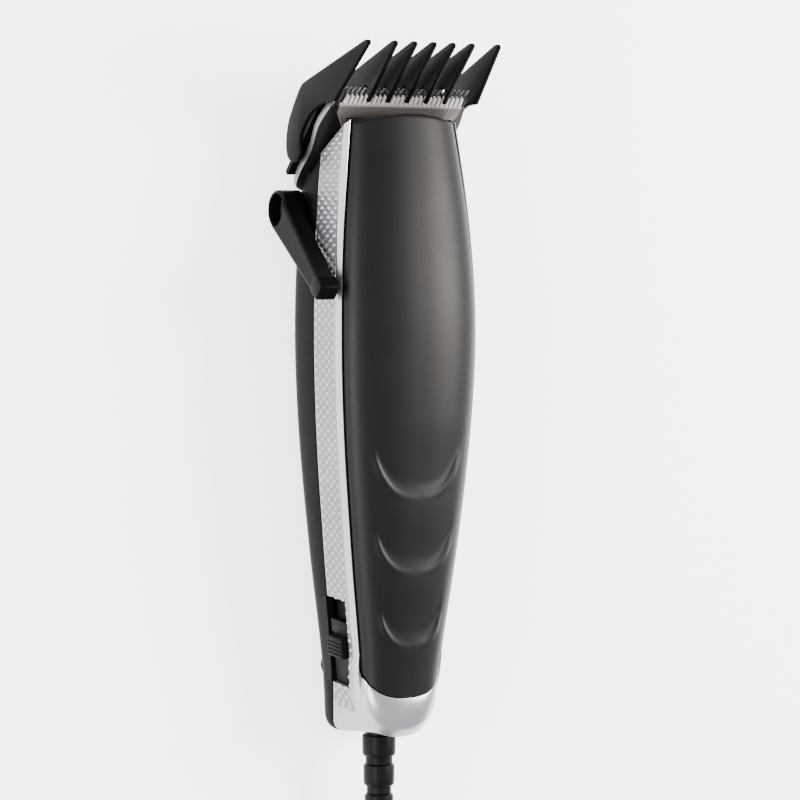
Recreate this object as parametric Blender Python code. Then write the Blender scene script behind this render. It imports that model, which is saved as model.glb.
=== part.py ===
"""Corded hair clipper with a clip-on guide comb, lying on its flat back.

The blade points along +Y, the crowned cover faces +Z and the taper lever is on the -X side. The
origin is on the flat back, under the middle of the case. Sizes are in millimetres until a mesh is made.
"""

import math

import bmesh
import bpy
from mathutils import Matrix, Vector

MM = 0.001
GAP = 0.3  # clearance between pieces that touch

# Case: each curve is a list of (y, value) that a smooth line joins.
TAIL_Y = -95.0
COVER_FRONT_Y = 88.3
COVER_END_Y = -82.7
FRONT_ARC = 2.5  # how far the cover's front edge falls back at its corners
HALF_WIDTH = [(-95, 11.8), (-75, 12.9), (-40, 17.3), (-5, 20.8), (25, 22.0), (55, 20.7), (92, 16.4)]
PARTING_Z = [(-95, 26.8), (-60, 29.6), (-20, 32.3), (25, 33.9), (60, 32.4), (92, 29.8)]
CROWN = [(-95, 5.6), (-40, 7.2), (25, 8.1), (60, 7.4), (92, 5.2)]
BEVEL = 1.5  # bright bevel between the cover and the frame's side
BAND = 15.6  # height of the frame's side
COVER_WALL = 2.0
WALL = 2.2
BACK_FILLET = 9.0
COVER_END_ROUND = 13.0
TAIL_ROUND = 13.0
CREASE_Y = -91.2

# Blade: the shear plane leans at 45 degrees and its frame's origin is at the tooth tips.
BLADE_TIP = (0.0, 95.2, 32.5)
BLADE_TILT = math.radians(45)
BLADE_FLANK = [(-41, 19.5), (-40, 21.6), (-34, 22.7), (-25, 22.3), (-15, 23.6), (-7.0, 22.6)]  # (along, half width)
BLADE_THICK = 2.2
TOOTH_COUNT = 28
TOOTH_LENGTH = 6.5
CUTTER_FLANK = [(-16, 15.5), (-9, 20.0), (-5.2, 20.3)]
CUTTER_SETBACK = 1.7
CUTTER_THICK = 1.2
SEAT_START = -32.0  # the blade rests on the case behind this, and the case is recessed ahead of it
SEAT_RECESS = 2.3

# Guide comb, in the blade's frame: along the blade, and above (+) or below (-) the shear plane.
COMB_FIN = 1.3
COMB_FIN_X = (0.0, 6.4, 12.8)
COMB_TIP_U = 20.3
COMB_SIDE_TIP_X = 21.6
COMB_SIDE_X = 24.6

# Taper lever
HUB = (-25.6, 60.4, 8.0)
LEVER_REACH = 37.0
LEVER_ANGLE = math.radians(131)  # from +Y towards +Z, so it leans back over the case

# Screws, as x and y; the power screw as x, y and z; the blade screws in the blade frame
BOSSES = ((-7.6, -76.0), (7.6, -76.0), (-13.0, 48.0), (13.0, 48.0))
CORE_SCREWS = ((-10.5, -25.0), (-10.5, 7.0))
POWER_SCREW = (0.0, 20.0, 13.4)
BLADE_SCREW_X = (-9.0, 9.0)
BLADE_SCREW_U = -36.5

# Motor
CORE_Z = (9.0, 19.0)
ARMATURE_PIVOT = (9.0, -37.0, 14.0)

# Switch, on the left side wall
SWITCH_Y = -66.5
SWITCH_HALF = 13.2
SWITCH_HEIGHT = 11.0

# Cord
CORD = 5.0
RELIEF_Z = 15.8
RELIEF_END_Y = -133.0
COIL_CENTRE = (2.0, -222.0)
OUTER_TURN = 35.0
INNER_TURN = 20.6
COIL_LAYERS = 4
COIL_LIFT = 0.7  # the tie passes under the coil
COIL_TOP = COIL_LIFT + COIL_LAYERS * CORD
PLUG_X = COIL_CENTRE[0] + 25.0
PLUG_Z = COIL_TOP + 6.9
PLUG_START_Y = COIL_CENTRE[1] - 4.0


def clear_scene():
    for obj in list(bpy.data.objects):
        bpy.data.objects.remove(obj, do_unlink=True)


def make_material(name, colour, roughness, metallic=0.0):
    material = bpy.data.materials.new(name)
    material.use_nodes = True
    shader = material.node_tree.nodes["Principled BSDF"]
    shader.inputs["Base Color"].default_value = (*colour, 1.0)
    shader.inputs["Roughness"].default_value = roughness
    shader.inputs["Metallic"].default_value = metallic
    material.diffuse_color = (*colour, 1.0)
    return material


def smooth(keys, at):
    """The value at `at` of a smooth curve through keys, (place, value) pairs in rising order."""
    last = len(keys) - 1
    at = min(max(at, keys[0][0]), keys[last][0])
    start = max(i for i in range(last) if keys[i][0] <= at)

    def slope(i):
        before, after = keys[max(i - 1, 0)], keys[min(i + 1, last)]
        return (after[1] - before[1]) / (after[0] - before[0])

    (x0, y0), (x1, y1) = keys[start], keys[start + 1]
    span = x1 - x0
    t = (at - x0) / span
    rise = t * t * (3 - 2 * t)
    leave = (t**3 - 2 * t**2 + t) * span * slope(start)
    arrive = (t**3 - t**2) * span * slope(start + 1)
    return y0 * (1 - rise) + y1 * rise + leave + arrive


def half_width(y):
    return smooth(HALF_WIDTH, y)


def parting_z(y):
    return smooth(PARTING_Z, y)


def band_foot_z(y):
    return parting_z(y) - BAND


def crown_z(x, y):
    """Height of the crowned face, which the cover and the frame's tail share."""
    across = min(abs(x) / half_width(y), 1.0)
    return parting_z(y) + smooth(CROWN, y) * (1 - across**2.4) ** 0.6


def quarter(half, start_y, depth, angle, power=2.6):
    """A point on a rounded end: `half` wide at start_y, and `depth` further down at the middle."""
    c, s = math.cos(angle), math.sin(angle)
    return half * max(c, 0.0) ** (2 / power), start_y - depth * s ** (2 / power)


def add_object(name, points, faces, material, smooth_angle=35):
    mesh = bpy.data.meshes.new(name)
    mesh.from_pydata([tuple(MM * c for c in point) for point in points], [], faces)
    mesh.materials.append(material)
    edit = bmesh.new()
    edit.from_mesh(mesh)
    bmesh.ops.recalc_face_normals(edit, faces=edit.faces)
    edit.to_mesh(mesh)
    edit.free()
    mesh.shade_smooth()
    mesh.set_sharp_from_angle(angle=math.radians(smooth_angle))
    obj = bpy.data.objects.new(name, mesh)
    bpy.context.collection.objects.link(obj)
    return obj


def join_rings(rings, closed_rings=True, closed_stack=False):
    """Points and faces of a skin over rings with equal counts, capped at both ends unless the stack closes."""
    count = len(rings[0])
    points = [point for ring in rings for point in ring]
    faces = []
    around = count if closed_rings else count - 1
    for r in range(len(rings) if closed_stack else len(rings) - 1):
        low, high = r * count, (r + 1) % len(rings) * count
        for i in range(around):
            j = (i + 1) % count
            faces.append((low + i, low + j, high + j, high + i))
    if not closed_stack:
        faces.append(tuple(range(count))[::-1])
        faces.append(tuple(range(len(points) - count, len(points))))
    return points, faces


def turned(name, profile, material, centre=(0, 0, 0), axis="Z", segments=24):
    """A solid of revolution from (radius, height) pairs; a radius of 0 closes an end."""
    turn = {
        "X": lambda a, b, h: (h, a, b),
        "Y": lambda a, b, h: (b, h, a),
        "Z": lambda a, b, h: (a, b, h),
    }[axis]
    rings = []
    for radius, height in profile:
        ring = []
        for i in range(segments):
            angle = 2 * math.pi * i / segments
            place = turn(radius * math.cos(angle), radius * math.sin(angle), height)
            ring.append(tuple(p + c for p, c in zip(place, centre)))
        rings.append(ring)
    return add_object(name, *join_rings(rings), material)


def rod(name, radius, low, high, material, centre=(0, 0, 0), axis="Z", segments=24):
    return turned(name, [(radius, low), (radius, high)], material, centre, axis, segments)


def prism(name, outline, low, high, material, along="X"):
    """An outline extruded from low to high: (y, z) along X, (x, z) along Y, or (x, y) along Z."""
    place = {
        "X": lambda a, b, d: (d, a, b),
        "Y": lambda a, b, d: (a, d, b),
        "Z": lambda a, b, d: (a, b, d),
    }[along]
    rings = [[place(a, b, d) for a, b in outline] for d in (low, high)]
    return add_object(name, *join_rings(rings), material)


def block(name, low, high, material):
    outline = [(low[0], low[1]), (high[0], low[1]), (high[0], high[1]), (low[0], high[1])]
    return prism(name, outline, low[2], high[2], material, along="Z")


def boolean(obj, other, operation):
    modifier = obj.modifiers.new(f"{operation.title()} {other.name}", "BOOLEAN")
    modifier.operation = operation
    modifier.solver = "EXACT"
    modifier.object = other
    other.hide_render = True
    other.display_type = "WIRE"


def cut(obj, *others):
    for other in others:
        boolean(obj, other, "DIFFERENCE")


def fuse(obj, *others):
    for other in others:
        boolean(obj, other, "UNION")


def set_origin(obj, point):
    """Moves the object's origin to a point in millimetres, leaving its shape where it is."""
    place = Vector(point) * MM
    obj.data.transform(Matrix.Translation(-place))
    obj.location = place


def hang_on(frame, *objects):
    for obj in objects:
        obj.parent = frame


def tube(name, points, radius, material, bevel_resolution=2):
    """A round cord or wire with filled ends along points in millimetres."""
    curve = bpy.data.curves.new(name, "CURVE")
    curve.dimensions = "3D"
    curve.bevel_depth = radius * MM
    curve.bevel_resolution = bevel_resolution
    curve.use_fill_caps = True
    spline = curve.splines.new("POLY")
    spline.points.add(len(points) - 1)
    for place, point in zip(spline.points, points):
        place.co = (*(MM * c for c in point), 1.0)
    curve.materials.append(material)
    obj = bpy.data.objects.new(name, curve)
    bpy.context.collection.objects.link(obj)
    return obj


def along_curve(stops, spacing):
    """Points about `spacing` apart on the Catmull-Rom curve through the stops."""
    ends = [Vector(stop) for stop in stops]
    ends = [2 * ends[0] - ends[1], *ends, 2 * ends[-1] - ends[-2]]
    points = []
    for a, b, c, d in zip(ends, ends[1:], ends[2:], ends[3:]):
        steps = max(2, round((c - b).length / spacing))
        for i in range(steps):
            t = i / steps
            points.append(
                0.5 * (2 * b + (c - a) * t + (2 * a - 5 * b + 4 * c - d) * t**2 + (3 * b - a - 3 * c + d) * t**3)
            )
    points.append(ends[-2])
    return [tuple(point) for point in points]


# ---- Case ------------------------------------------------------------------------------------


def make_top_cover(material):
    """The crowned cover: a grid over its U-shaped outline, thickened downwards."""
    half = 9  # columns each side of the middle
    angles = [math.pi / 2 * i / half for i in range(-half, half + 1)]
    bend_y = COVER_END_Y + COVER_END_ROUND
    rows = [(y, half_width(y)) for y in steps(COVER_FRONT_Y, bend_y, 14)]
    for i in range(1, 8):
        angle = math.radians(11 * i)
        rows.append(quarter(half_width(bend_y), bend_y, COVER_END_ROUND, angle)[::-1])
    outer, inner = [], []
    for y, width in rows:
        for angle in angles:
            x = width * math.sin(angle)
            lead = max(y - 30, 0) / (COVER_FRONT_Y - 30)
            fall = FRONT_ARC * lead * (x / width) ** 2
            outer.append((x, y - fall, crown_z(x, y)))
            inset = 1 - COVER_WALL / max(width, 2 * COVER_WALL)
            tuck = min(y + COVER_WALL, COVER_FRONT_Y) if y < bend_y else y
            inner.append((x * inset, tuck - fall, crown_z(x * inset, tuck) - COVER_WALL))
    count = len(angles)
    points = outer + inner
    half_way = len(outer)
    faces = []
    for r in range(len(rows) - 1):
        for c in range(count - 1):
            a, b = r * count + c, (r + 1) * count + c
            faces.append((a, a + 1, b + 1, b))
            faces.append((half_way + a, half_way + b, half_way + b + 1, half_way + a + 1))
    rim = [r * count for r in range(len(rows))]
    rim += [(len(rows) - 1) * count + c for c in range(1, count)]
    rim += [r * count + count - 1 for r in range(len(rows) - 2, -1, -1)]
    rim += [c for c in range(count - 2, 0, -1)]
    for a, b in zip(rim, rim[1:] + rim[:1]):
        faces.append((a, b, half_way + b, half_way + a))
    cover = add_object("top_cover", points, faces, material)
    for x, y in BOSSES:
        top = crown_z(x, y) - COVER_WALL / 2
        boss = rod(f"cover_boss_{x}_{y}", 3.0, band_foot_z(y) + 1.5, top, material, (x, y, 0), segments=12)
        hole = rod(f"cover_boss_hole_{x}_{y}", 1.6, 0, top - 4, material, (x, y, 0), segments=12)
        fuse(cover, boss)
        cut(cover, hole)
    return cover


def steps(start, end, count):
    return [start + (end - start) * i / count for i in range(count + 1)]


def frame_section(edge, crease, outline, inner, foot_y, on_side):
    """The frame's cross-section: cover edge, crease, bevel, side, foot and back up the inside."""
    x, y = outline
    top = crown_z(*crease) if not on_side else parting_z(y)
    bevel_drop = BEVEL if on_side else 3.5
    foot = band_foot_z(foot_y) + GAP
    edge_z = crown_z(*edge) if not on_side else parting_z(y)
    lip = 1.2 if on_side else 1.8
    shoulder = top - (2.4 if on_side else 5.0)
    return [
        (*edge, edge_z),
        (*crease, top),
        (x, y, top - bevel_drop),
        (x, y, (top - bevel_drop + foot) / 2),
        (x, y, foot),
        (*inner, foot),
        (*inner, shoulder),
        (*edge, edge_z - lip),
    ]


def make_silver_frame(material):
    """One band round both sides and the tail, with a slanted front edge at each end."""
    sections = []
    bend_y = TAIL_Y + TAIL_ROUND
    edge_bend = COVER_END_Y + COVER_END_ROUND
    front_top, front_foot = 86.2, 76.7
    for i in range(25):
        t = i / 24
        section = []
        top_y = front_top + (edge_bend - front_top) * t
        foot_y = front_foot + (edge_bend - front_foot) * t
        width = half_width(top_y)
        flat = frame_section(
            (width + GAP, top_y),
            (width + GAP + 0.1, top_y),
            (width + BEVEL, top_y),
            (width + BEVEL - 2.0, top_y),
            foot_y,
            True,
        )
        high, low = flat[0][2], flat[4][2]
        for x, _, z in flat:
            y = foot_y + (top_y - foot_y) * (z - low) / (high - low)
            section.append((half_width(y) + x - width, y, z))
        sections.append(section)
    half = half_width(edge_bend)
    for i in range(1, 10):
        angle = math.radians(10 * i if i < 9 else 90)
        edge = quarter(half + GAP, edge_bend, COVER_END_ROUND + GAP, angle)
        crease = quarter(half + GAP + 0.1, edge_bend, edge_bend - CREASE_Y, angle)
        outline = quarter(half + BEVEL, edge_bend, edge_bend - TAIL_Y, angle)
        inner = quarter(half + BEVEL - 2, edge_bend, edge_bend - TAIL_Y - 2, angle)
        fade = min(i / 3, 1)
        side = frame_section(edge, crease, outline, inner, outline[1], True)
        end = frame_section(edge, crease, outline, inner, outline[1], False)
        sections.append([tuple(Vector(a).lerp(Vector(b), fade)) for a, b in zip(side, end)])
    mirrored = [[(-x, y, z) for x, y, z in section] for section in sections[-2::-1]]
    frame = add_object("silver_frame", *join_rings(sections + mirrored), material, smooth_angle=30)
    relief_hole = rod("relief_hole", 3.6, -6, 6, material, (0, TAIL_Y, RELIEF_Z), "Y", 20)
    relief_slot = block("relief_slot", (-3.6, TAIL_Y - 6, 5), (3.6, TAIL_Y + 6, RELIEF_Z), material)
    cut(frame, relief_hole, relief_slot)
    return frame


def housing_outline(inset, front_y, z):
    """One level of the housing, from its left front corner round the tail to its right front corner."""
    bend_y = TAIL_Y + TAIL_ROUND + 10
    left = []
    for y in steps(front_y, bend_y, 14):
        left.append((half_width(y) + BEVEL - inset, y, z(y)))
    half = half_width(bend_y) + BEVEL - inset
    for i in range(1, 9):
        x, y = quarter(half, bend_y, bend_y - TAIL_Y - inset, math.radians(min(11.25 * i, 90)))
        left.append((x, y, z(y)))
    right = [(-x, y, z) for x, y, z in left[-2::-1]]
    return left + right


def bed_y(z):
    """Where the blade's seat is at a height: the seat is GAP behind the shear plane."""
    return z + BLADE_TIP[1] - BLADE_TIP[2] - GAP * math.sqrt(2)


def make_bottom_housing(material):
    """A tub with a flat back and filleted edges, closed at the front by the slanted blade seat."""
    levels = []
    for step in range(4):
        angle = math.radians(30 * step)
        levels.append((BACK_FILLET * (1 - math.sin(angle)), BACK_FILLET * (1 - math.cos(angle))))
    rings = []
    for inset, height in levels:
        rings.append(housing_outline(inset, bed_y(height), lambda y, z=height: z))
    rings.append(housing_outline(0, bed_y(15.6), band_foot_z))
    rings.append(housing_outline(WALL, bed_y(15.6) - 4.5, band_foot_z))
    for inset, height in reversed(levels):
        lift = WALL + height * (1 - WALL / BACK_FILLET)
        shift = WALL + inset * (1 - WALL / BACK_FILLET)
        rings.append(housing_outline(shift, bed_y(lift) - 4.5, lambda y, z=lift: z))
    housing = add_object("bottom_housing", *join_rings(rings), material)
    for x, y in BOSSES:
        post = rod(f"post_{x}_{y}", 4.2, 1, band_foot_z(y) - 1, material, (x, y, 0), segments=16)
        fuse(housing, post)
    for x, y in CORE_SCREWS:
        post = rod(f"core_post_{x}_{y}", 3.2, 1, CORE_Z[0] - GAP, material, (x, y, 0), segments=12)
        fuse(housing, post)
    lever_boss = rod("lever_boss", 5.4, -21.6, -15.5, material, (0, *HUB[1:]), "X")
    fuse(housing, lever_boss)
    for x, y in BOSSES:
        cut(
            housing,
            rod(f"head_hole_{x}_{y}", 3.3, -1, 3.0, material, (x, y, 0), segments=16),
            rod(f"shank_hole_{x}_{y}", 1.8, 2, 25, material, (x, y, 0), segments=12),
        )
    for x, y in CORE_SCREWS:
        cut(housing, rod(f"core_hole_{x}_{y}", 1.5, 3.5, 12, material, (x, y, 0), segments=12))
    cut(housing, rod("lever_hole", 2.2, -24, -10, material, (0, *HUB[1:]), "X", 16))
    side = half_width(POWER_SCREW[1]) + BEVEL
    cut(
        housing,
        rod("power_head_hole", 3.9, side - 1.2, side + 3, material, (0, *POWER_SCREW[1:]), "X", 16),
        rod("power_shank_hole", 1.9, side - 6, side, material, (0, *POWER_SCREW[1:]), "X", 12),
    )
    for x in BLADE_SCREW_X:
        hole = rod(f"seat_hole_{x}", 1.9, -1, 9, material, (x, BLADE_SCREW_U, 0), segments=12)
        hang_on(bpy.data.objects["blade_frame"], hole)
        cut(housing, hole)
    recess = block("seat_recess", (-30, SEAT_START, -5), (30, 10, SEAT_RECESS), material)
    hang_on(bpy.data.objects["blade_frame"], recess)
    cut(housing, recess)
    relief_slot = block("housing_relief_slot", (-3.6, TAIL_Y - 3, 9.5), (3.6, TAIL_Y + 3, 30), material)
    cut(housing, relief_slot)
    return housing


def make_nose_insert(material):
    """The black nose behind the cutter: two cheeks that fill the case's front and a bar between them."""
    cheek = [(82.3, 23.9), (82.8, 23.9), (89.0, 30.1), (88.6, 30.4), (86.6, 30.4)]
    post = [(76.6, 17.0), (77.7, 17.2), (80.0, 21.2), (83.2, 24.6), (83.2, 28.0), (80.0, 28.0)]
    pieces = []
    for side in (-1, 1):
        low, high = sorted((side * 14.0, side * 17.6))
        pieces.append(prism(f"cheek_{side}", cheek, low, high, material))
        low, high = sorted((side * 14.0, side * 15.6))
        pieces.append(prism(f"cheek_post_{side}", post, low, high, material))
    bar = prism("nose_insert", [(76.6, 17.0), (77.7, 17.0), (79.0, 18.6), (78.2, 18.8), (76.6, 17.6)], -15.6, 15.6, material)
    fuse(bar, *pieces)
    return bar


def make_housing_screws(material):
    for i, (x, y) in enumerate(BOSSES):
        profile = [(2.9, 0.6), (2.9, 2.4), (1.3, 2.7), (1.3, 24.0), (0.6, 25.0)]
        turned(f"housing_screw_{i + 1}", profile, material, (x, y, 0), segments=12)


# ---- Blade set, in the blade's frame: X across, Y towards the teeth, Z towards the cover --------


def make_blade_frame():
    frame = bpy.data.objects.new("blade_frame", None)
    frame.location = Vector(BLADE_TIP) * MM
    frame.rotation_euler = (BLADE_TILT, 0, 0)
    bpy.context.collection.objects.link(frame)
    return frame


def toothed_outline(flank, tip, teeth, depth):
    """A blade's outline: its flanks from heel to shoulder, and a row of tapered teeth."""
    half = flank[-1][1]
    pitch = 2 * half / (teeth + 0.5)
    outline = [(-width, along) for along, width in reversed(flank)]
    outline += [(width, along) for along, width in flank]
    for i in range(teeth):
        middle = half - pitch * (i + 0.75)
        outline += [
            (middle + 0.36 * pitch, tip - depth),
            (middle + 0.16 * pitch, tip),
            (middle - 0.16 * pitch, tip),
            (middle - 0.36 * pitch, tip - depth),
        ]
    return outline


def make_fixed_blade(frame, steel):
    outline = toothed_outline(BLADE_FLANK, 0, TOOTH_COUNT, TOOTH_LENGTH)
    blade = prism("fixed_blade", outline, -BLADE_THICK, 0, steel, along="Z")
    relief = prism("blade_relief", [(-9.5, -3.5), (2, -3.5), (2, -0.5), (-0.5, -0.7)], -30, 30, steel)
    hang_on(frame, blade, relief)
    cut(blade, relief)
    for x in BLADE_SCREW_X:
        hole = rod(f"blade_hole_{x}", 1.9, -4, 2, steel, (x, BLADE_SCREW_U, 0), segments=16)
        sink = rod(f"blade_sink_{x}", 3.5, -4, -0.7, steel, (x, BLADE_SCREW_U, 0), segments=20)
        hang_on(frame, hole, sink)
        cut(blade, hole, sink)


def make_moving_blade(frame, steel):
    outline = toothed_outline(CUTTER_FLANK, -CUTTER_SETBACK, 26, 3.2)
    hang_on(frame, prism("moving_blade", outline, GAP, GAP + CUTTER_THICK, steel, along="Z"))


def make_cutter_yoke(frame, material):
    """The plastic block on the cutter's back, with two prongs that the armature's pin drives."""
    floor = GAP + CUTTER_THICK + GAP
    yoke = block("cutter_yoke", (-9.5, -14.6, floor), (9.5, -9.8, floor + 1.4), material)
    for side in (-1, 1):
        low, high = sorted((side * 1.7, side * 4.0))
        prong = block(f"yoke_prong_{side}", (low, -13.8, floor + 0.5), (high, -9.8, floor + 5.6), material)
        hang_on(frame, prong)
        fuse(yoke, prong)
    hang_on(frame, yoke)


def make_taper_carriage(frame, material):
    """The slide that the taper lever moves along the blade: a plate inside the case with two arms."""
    plate = block("taper_carriage", (-13.4, -35.0, 3.9), (13.4, -19.0, 5.3), material)
    for side in (-1, 1):
        low, high = sorted((side * 10.9, side * 13.4))
        arm = block(f"carriage_arm_{side}", (low, -20, 2.6), (high, -10.2, 5.0), material)
        hang_on(frame, arm)
        fuse(plate, arm)
    hang_on(frame, plate)


def make_tension_spring(frame, steel):
    """The wire spring that presses the cutter on the fixed blade."""
    stops = [(-6.5, -11.2, 4.6), (-7.2, -14, 6.4), (-7.2, -22, 6.0), (0, -27, 5.9), (7.2, -22, 6.0)]
    stops += [(7.2, -14, 6.4), (6.5, -11.2, 4.6)]
    hang_on(frame, tube("tension_spring", along_curve(stops, 3.0), 0.6, steel, 1))


def make_blade_screws(frame, steel):
    for x, side in zip(BLADE_SCREW_X, ("left", "right")):
        profile = [(3.1, -2.1), (3.1, -1.2), (1.5, -1.0), (1.5, 3.0)]
        name = f"blade_screw_{side}"
        hang_on(frame, turned(name, profile, steel, (x, BLADE_SCREW_U, 0), segments=16))


def comb_skin():
    """A fin's outer edge: the rounded tip, the run that lies on the skin, and the round back end."""
    tip = [(19.5, 3.0), (COMB_TIP_U, 2.6), (COMB_TIP_U, 1.8), (19.2, 0.8)]
    return tip + [(-8.0, -12.7), (-10.6, -14.0), (-13.5, -14.3), (-24.5, -12.6), (-30.6, -9.0), (-32.6, -6.0)]


def make_guide_comb(frame, material):
    """Seven fins on a base plate on the fixed blade's outer face; their feet hook over its teeth."""
    under = -BLADE_THICK - GAP
    plate = block("guide_comb", (-COMB_SIDE_X, -37.5, under - 1.8), (COMB_SIDE_X, -8.5, under - 0.3), material)
    hang_on(frame, plate)
    floor = [(-33.2, under - 0.8), (-9.5, under - 0.5), (-5.4, under - 0.2), (0.5, -1.0)]
    hook_z = GAP + CUTTER_THICK + GAP
    hook = [(0.5, hook_z), (-2.9, hook_z), (-2.9, hook_z + 1.0)]
    outline = comb_skin() + floor + hook
    for x in sorted({side * x for side in (-1, 1) for x in COMB_FIN_X}):
        fin = prism(f"comb_fin_{x}", outline, x - COMB_FIN / 2, x + COMB_FIN / 2, material)
        hang_on(frame, fin)
        fuse(plate, fin)
    for side in (-1, 1):
        cheek = make_comb_side(side, material)
        hang_on(frame, cheek)
        fuse(plate, cheek)


def make_comb_side(side, material):
    """An outer fin, which leans in towards its tip; its round lug sits in the blade's waist."""
    lug = [(-32.6, -4.2), (-31.2, -1.8), (-28.6, -0.4), (-26.2, -0.6), (-24.6, -2.4)]
    arch = [(-22.6, -4.2), (-18.5, -4.6), (-13.0, -3.9), (-7.0, -1.2), (-2.6, 2.6)]
    outline = comb_skin() + lug + arch
    rings = []
    for offset in (-COMB_FIN / 2, COMB_FIN / 2):
        ring = []
        for u, h in outline:
            lean = max(u + 12.0, 0.0) / (COMB_TIP_U + 12.0) * (COMB_SIDE_X - COMB_SIDE_TIP_X)
            ring.append((side * (COMB_SIDE_X + offset - lean), u, h))
        rings.append(ring)
    return add_object(f"comb_side_{side}", *join_rings(rings), material)


# ---- Taper lever ---------------------------------------------------------------------------------


def make_taper_lever(material):
    """A hub with a round recess, and an arm that leans back over the side and ends in a thumb tab."""
    hub = rod("taper_lever", 5.9, -29.0, -22.6, material, (0, *HUB[1:]), "X", 28)
    reach = Vector((math.cos(LEVER_ANGLE), math.sin(LEVER_ANGLE)))
    across = Vector((-reach.y, reach.x))
    start, end = Vector(HUB[1:]) + reach * 1.0, Vector(HUB[1:]) + reach * LEVER_REACH
    arm_outline = [start + across * 5.2, end + across * 2.6, end - across * 2.6, start - across * 5.2]
    arm = prism("lever_arm", [tuple(p) for p in arm_outline], -29.8, -25.2, material)
    tab_start = end - reach * 5.5
    tab_outline = [tab_start + across * 3.0, end + across * 3.0, end - across * 3.0, tab_start - across * 3.0]
    tab = prism("lever_tab", [tuple(p) for p in tab_outline], -31.7, -24.4, material)
    fuse(hub, arm, tab)
    recess = rod("lever_recess", 4.7, -32, -25.5, material, (0, *HUB[1:]), "X", 24)
    bore = rod("lever_bore", 2.2, -30, -15, material, (0, *HUB[1:]), "X", 16)
    cut(hub, recess, bore)
    set_origin(hub, (0, *HUB[1:]))


def make_lever_pivot(steel, material):
    profile = [(3.6, -27.2), (3.6, -25.8), (1.9, -25.8), (1.9, -15.1), (1.2, -14.8), (1.2, -12.2)]
    pivot = turned("lever_pivot_screw", profile, steel, (0, *HUB[1:]), "X", 16)
    set_origin(pivot, (0, *HUB[1:]))
    cam_y = HUB[1] - 0.8
    cam = rod("lever_cam", 3.0, -14.5, -12.4, material, (0, cam_y, HUB[2]), "X", 20)
    cut(cam, rod("cam_bore", 1.5, -17, -10, material, (0, *HUB[1:]), "X", 12))
    set_origin(cam, (0, *HUB[1:]))


# ---- Motor ---------------------------------------------------------------------------------------


def make_motor_core(steel):
    outline = [(-14, -30), (5, -30), (5, -20), (-7, -20), (-7, 2), (5, 2), (5, 12), (-14, 12)]
    core = prism("motor_core", outline, *CORE_Z, steel, along="Z")
    for x, y in CORE_SCREWS:
        cut(core, rod(f"core_bore_{x}_{y}", 1.8, 5, 25, steel, (x, y, 0), segments=12))


def square_tube(name, outer, inner, low_y, high_y, material):
    """A rectangular sleeve along Y; outer and inner are (low x, low z, high x, high z)."""
    sleeve = block(name, (outer[0], low_y, outer[1]), (outer[2], high_y, outer[3]), material)
    window = block(f"{name}_window", (inner[0], low_y - 5, inner[1]), (inner[2], high_y + 5, inner[3]), material)
    cut(sleeve, window)
    return sleeve


def make_coil(plastic, copper):
    limb = (-14 - GAP, CORE_Z[0] - GAP, -7 + GAP, CORE_Z[1] + GAP)
    wall = (limb[0] - 0.8, limb[1] - 0.8, limb[2] + 0.8, limb[3] + 0.8)
    cheek = (-17.4, 6.0, -3.6, 22.2)
    bobbin = square_tube("coil_bobbin", wall, limb, -19.6, 1.6, plastic)
    for i, y in enumerate((-19.6, 0.4)):
        fuse(bobbin, square_tube(f"bobbin_cheek_{i}", cheek, limb, y, y + 1.2, plastic))
    inner = (wall[0] - GAP, wall[1] - GAP, wall[2] + GAP, wall[3] + GAP)
    outer = (-17.0, 6.4, -4.0, 21.6)
    square_tube("coil_winding", outer, inner, -18.0, 0.0, copper)


def make_core_screws(steel):
    for i, (x, y) in enumerate(CORE_SCREWS):
        profile = [(1.2, 4.2), (1.5 - GAP, 5.0), (1.5 - GAP, 19.4), (2.9, 19.4), (2.9, 21.0)]
        turned(f"core_screw_{i + 1}", profile, steel, (x, y, 0), segments=12)


def make_armature(steel):
    """The pole bar beside the core, with the arm that carries the drive pin to the cutter."""
    armature = block("armature", (6.6, -32, 9), (11.4, 13, 19), steel)
    stops = [(9.2, 8, 17), (8.6, 16, 20), (5.0, 28, 25.0), (0.6, 44, 27.6), (0, 60, 29.6), (0, 80.2, 31.5)]
    stops += [(0, 82.8, 29.9), (0, 84.6, 28.1)]
    rings = []
    for i, stop in enumerate(stops):
        place = Vector(stop)
        ahead = Vector(stops[min(i + 1, len(stops) - 1)]) - Vector(stops[max(i - 1, 0)])
        across = ahead.cross(Vector((0, 0, 1))).normalized() * 1.3
        above = across.cross(ahead).normalized() * 1.4
        corners = (across + above, across - above, -across - above, -across + above)
        rings.append([tuple(place + corner) for corner in corners])
    arm = add_object("armature_arm", *join_rings(rings), steel)
    fuse(armature, arm)
    set_origin(armature, ARMATURE_PIVOT)


def make_armature_mount(steel, spring_steel, plastic):
    """Two leaf springs hold the armature's back end to a clamp block on the case's floor."""
    for side, x in (("left", 7.2), ("right", 10.2)):
        block(f"armature_spring_{side}", (x, -42.6, 10), (x + 0.6, -32.4, 18), spring_steel)
    block("spring_clamp", (5.4, -50.0, 4.6), (12.6, -43.0, 19), plastic)
    profile = [(2.6, 19.4), (2.6, 20.8), (1.2, 21.0)]
    turned("clamp_screw", profile, steel, (9.0, -46.5, 0), segments=12)


def make_power_screw(material):
    side = half_width(POWER_SCREW[1]) + BEVEL
    profile = [(1.5, 13.0), (1.5, side - 0.9), (3.5, side - 0.9), (3.5, side + 0.1), (3.1, side + 0.4)]
    screw = turned("power_screw", profile, material, (0, *POWER_SCREW[1:]), "X", 16)
    cut(screw, block("power_slot", (side - 0.2, 15, 12.9), (side + 2, 25, 13.9), material))
    set_origin(screw, (0, *POWER_SCREW[1:]))


# ---- Switch, in a frame on the left side's outer face -------------------------------------------

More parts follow.
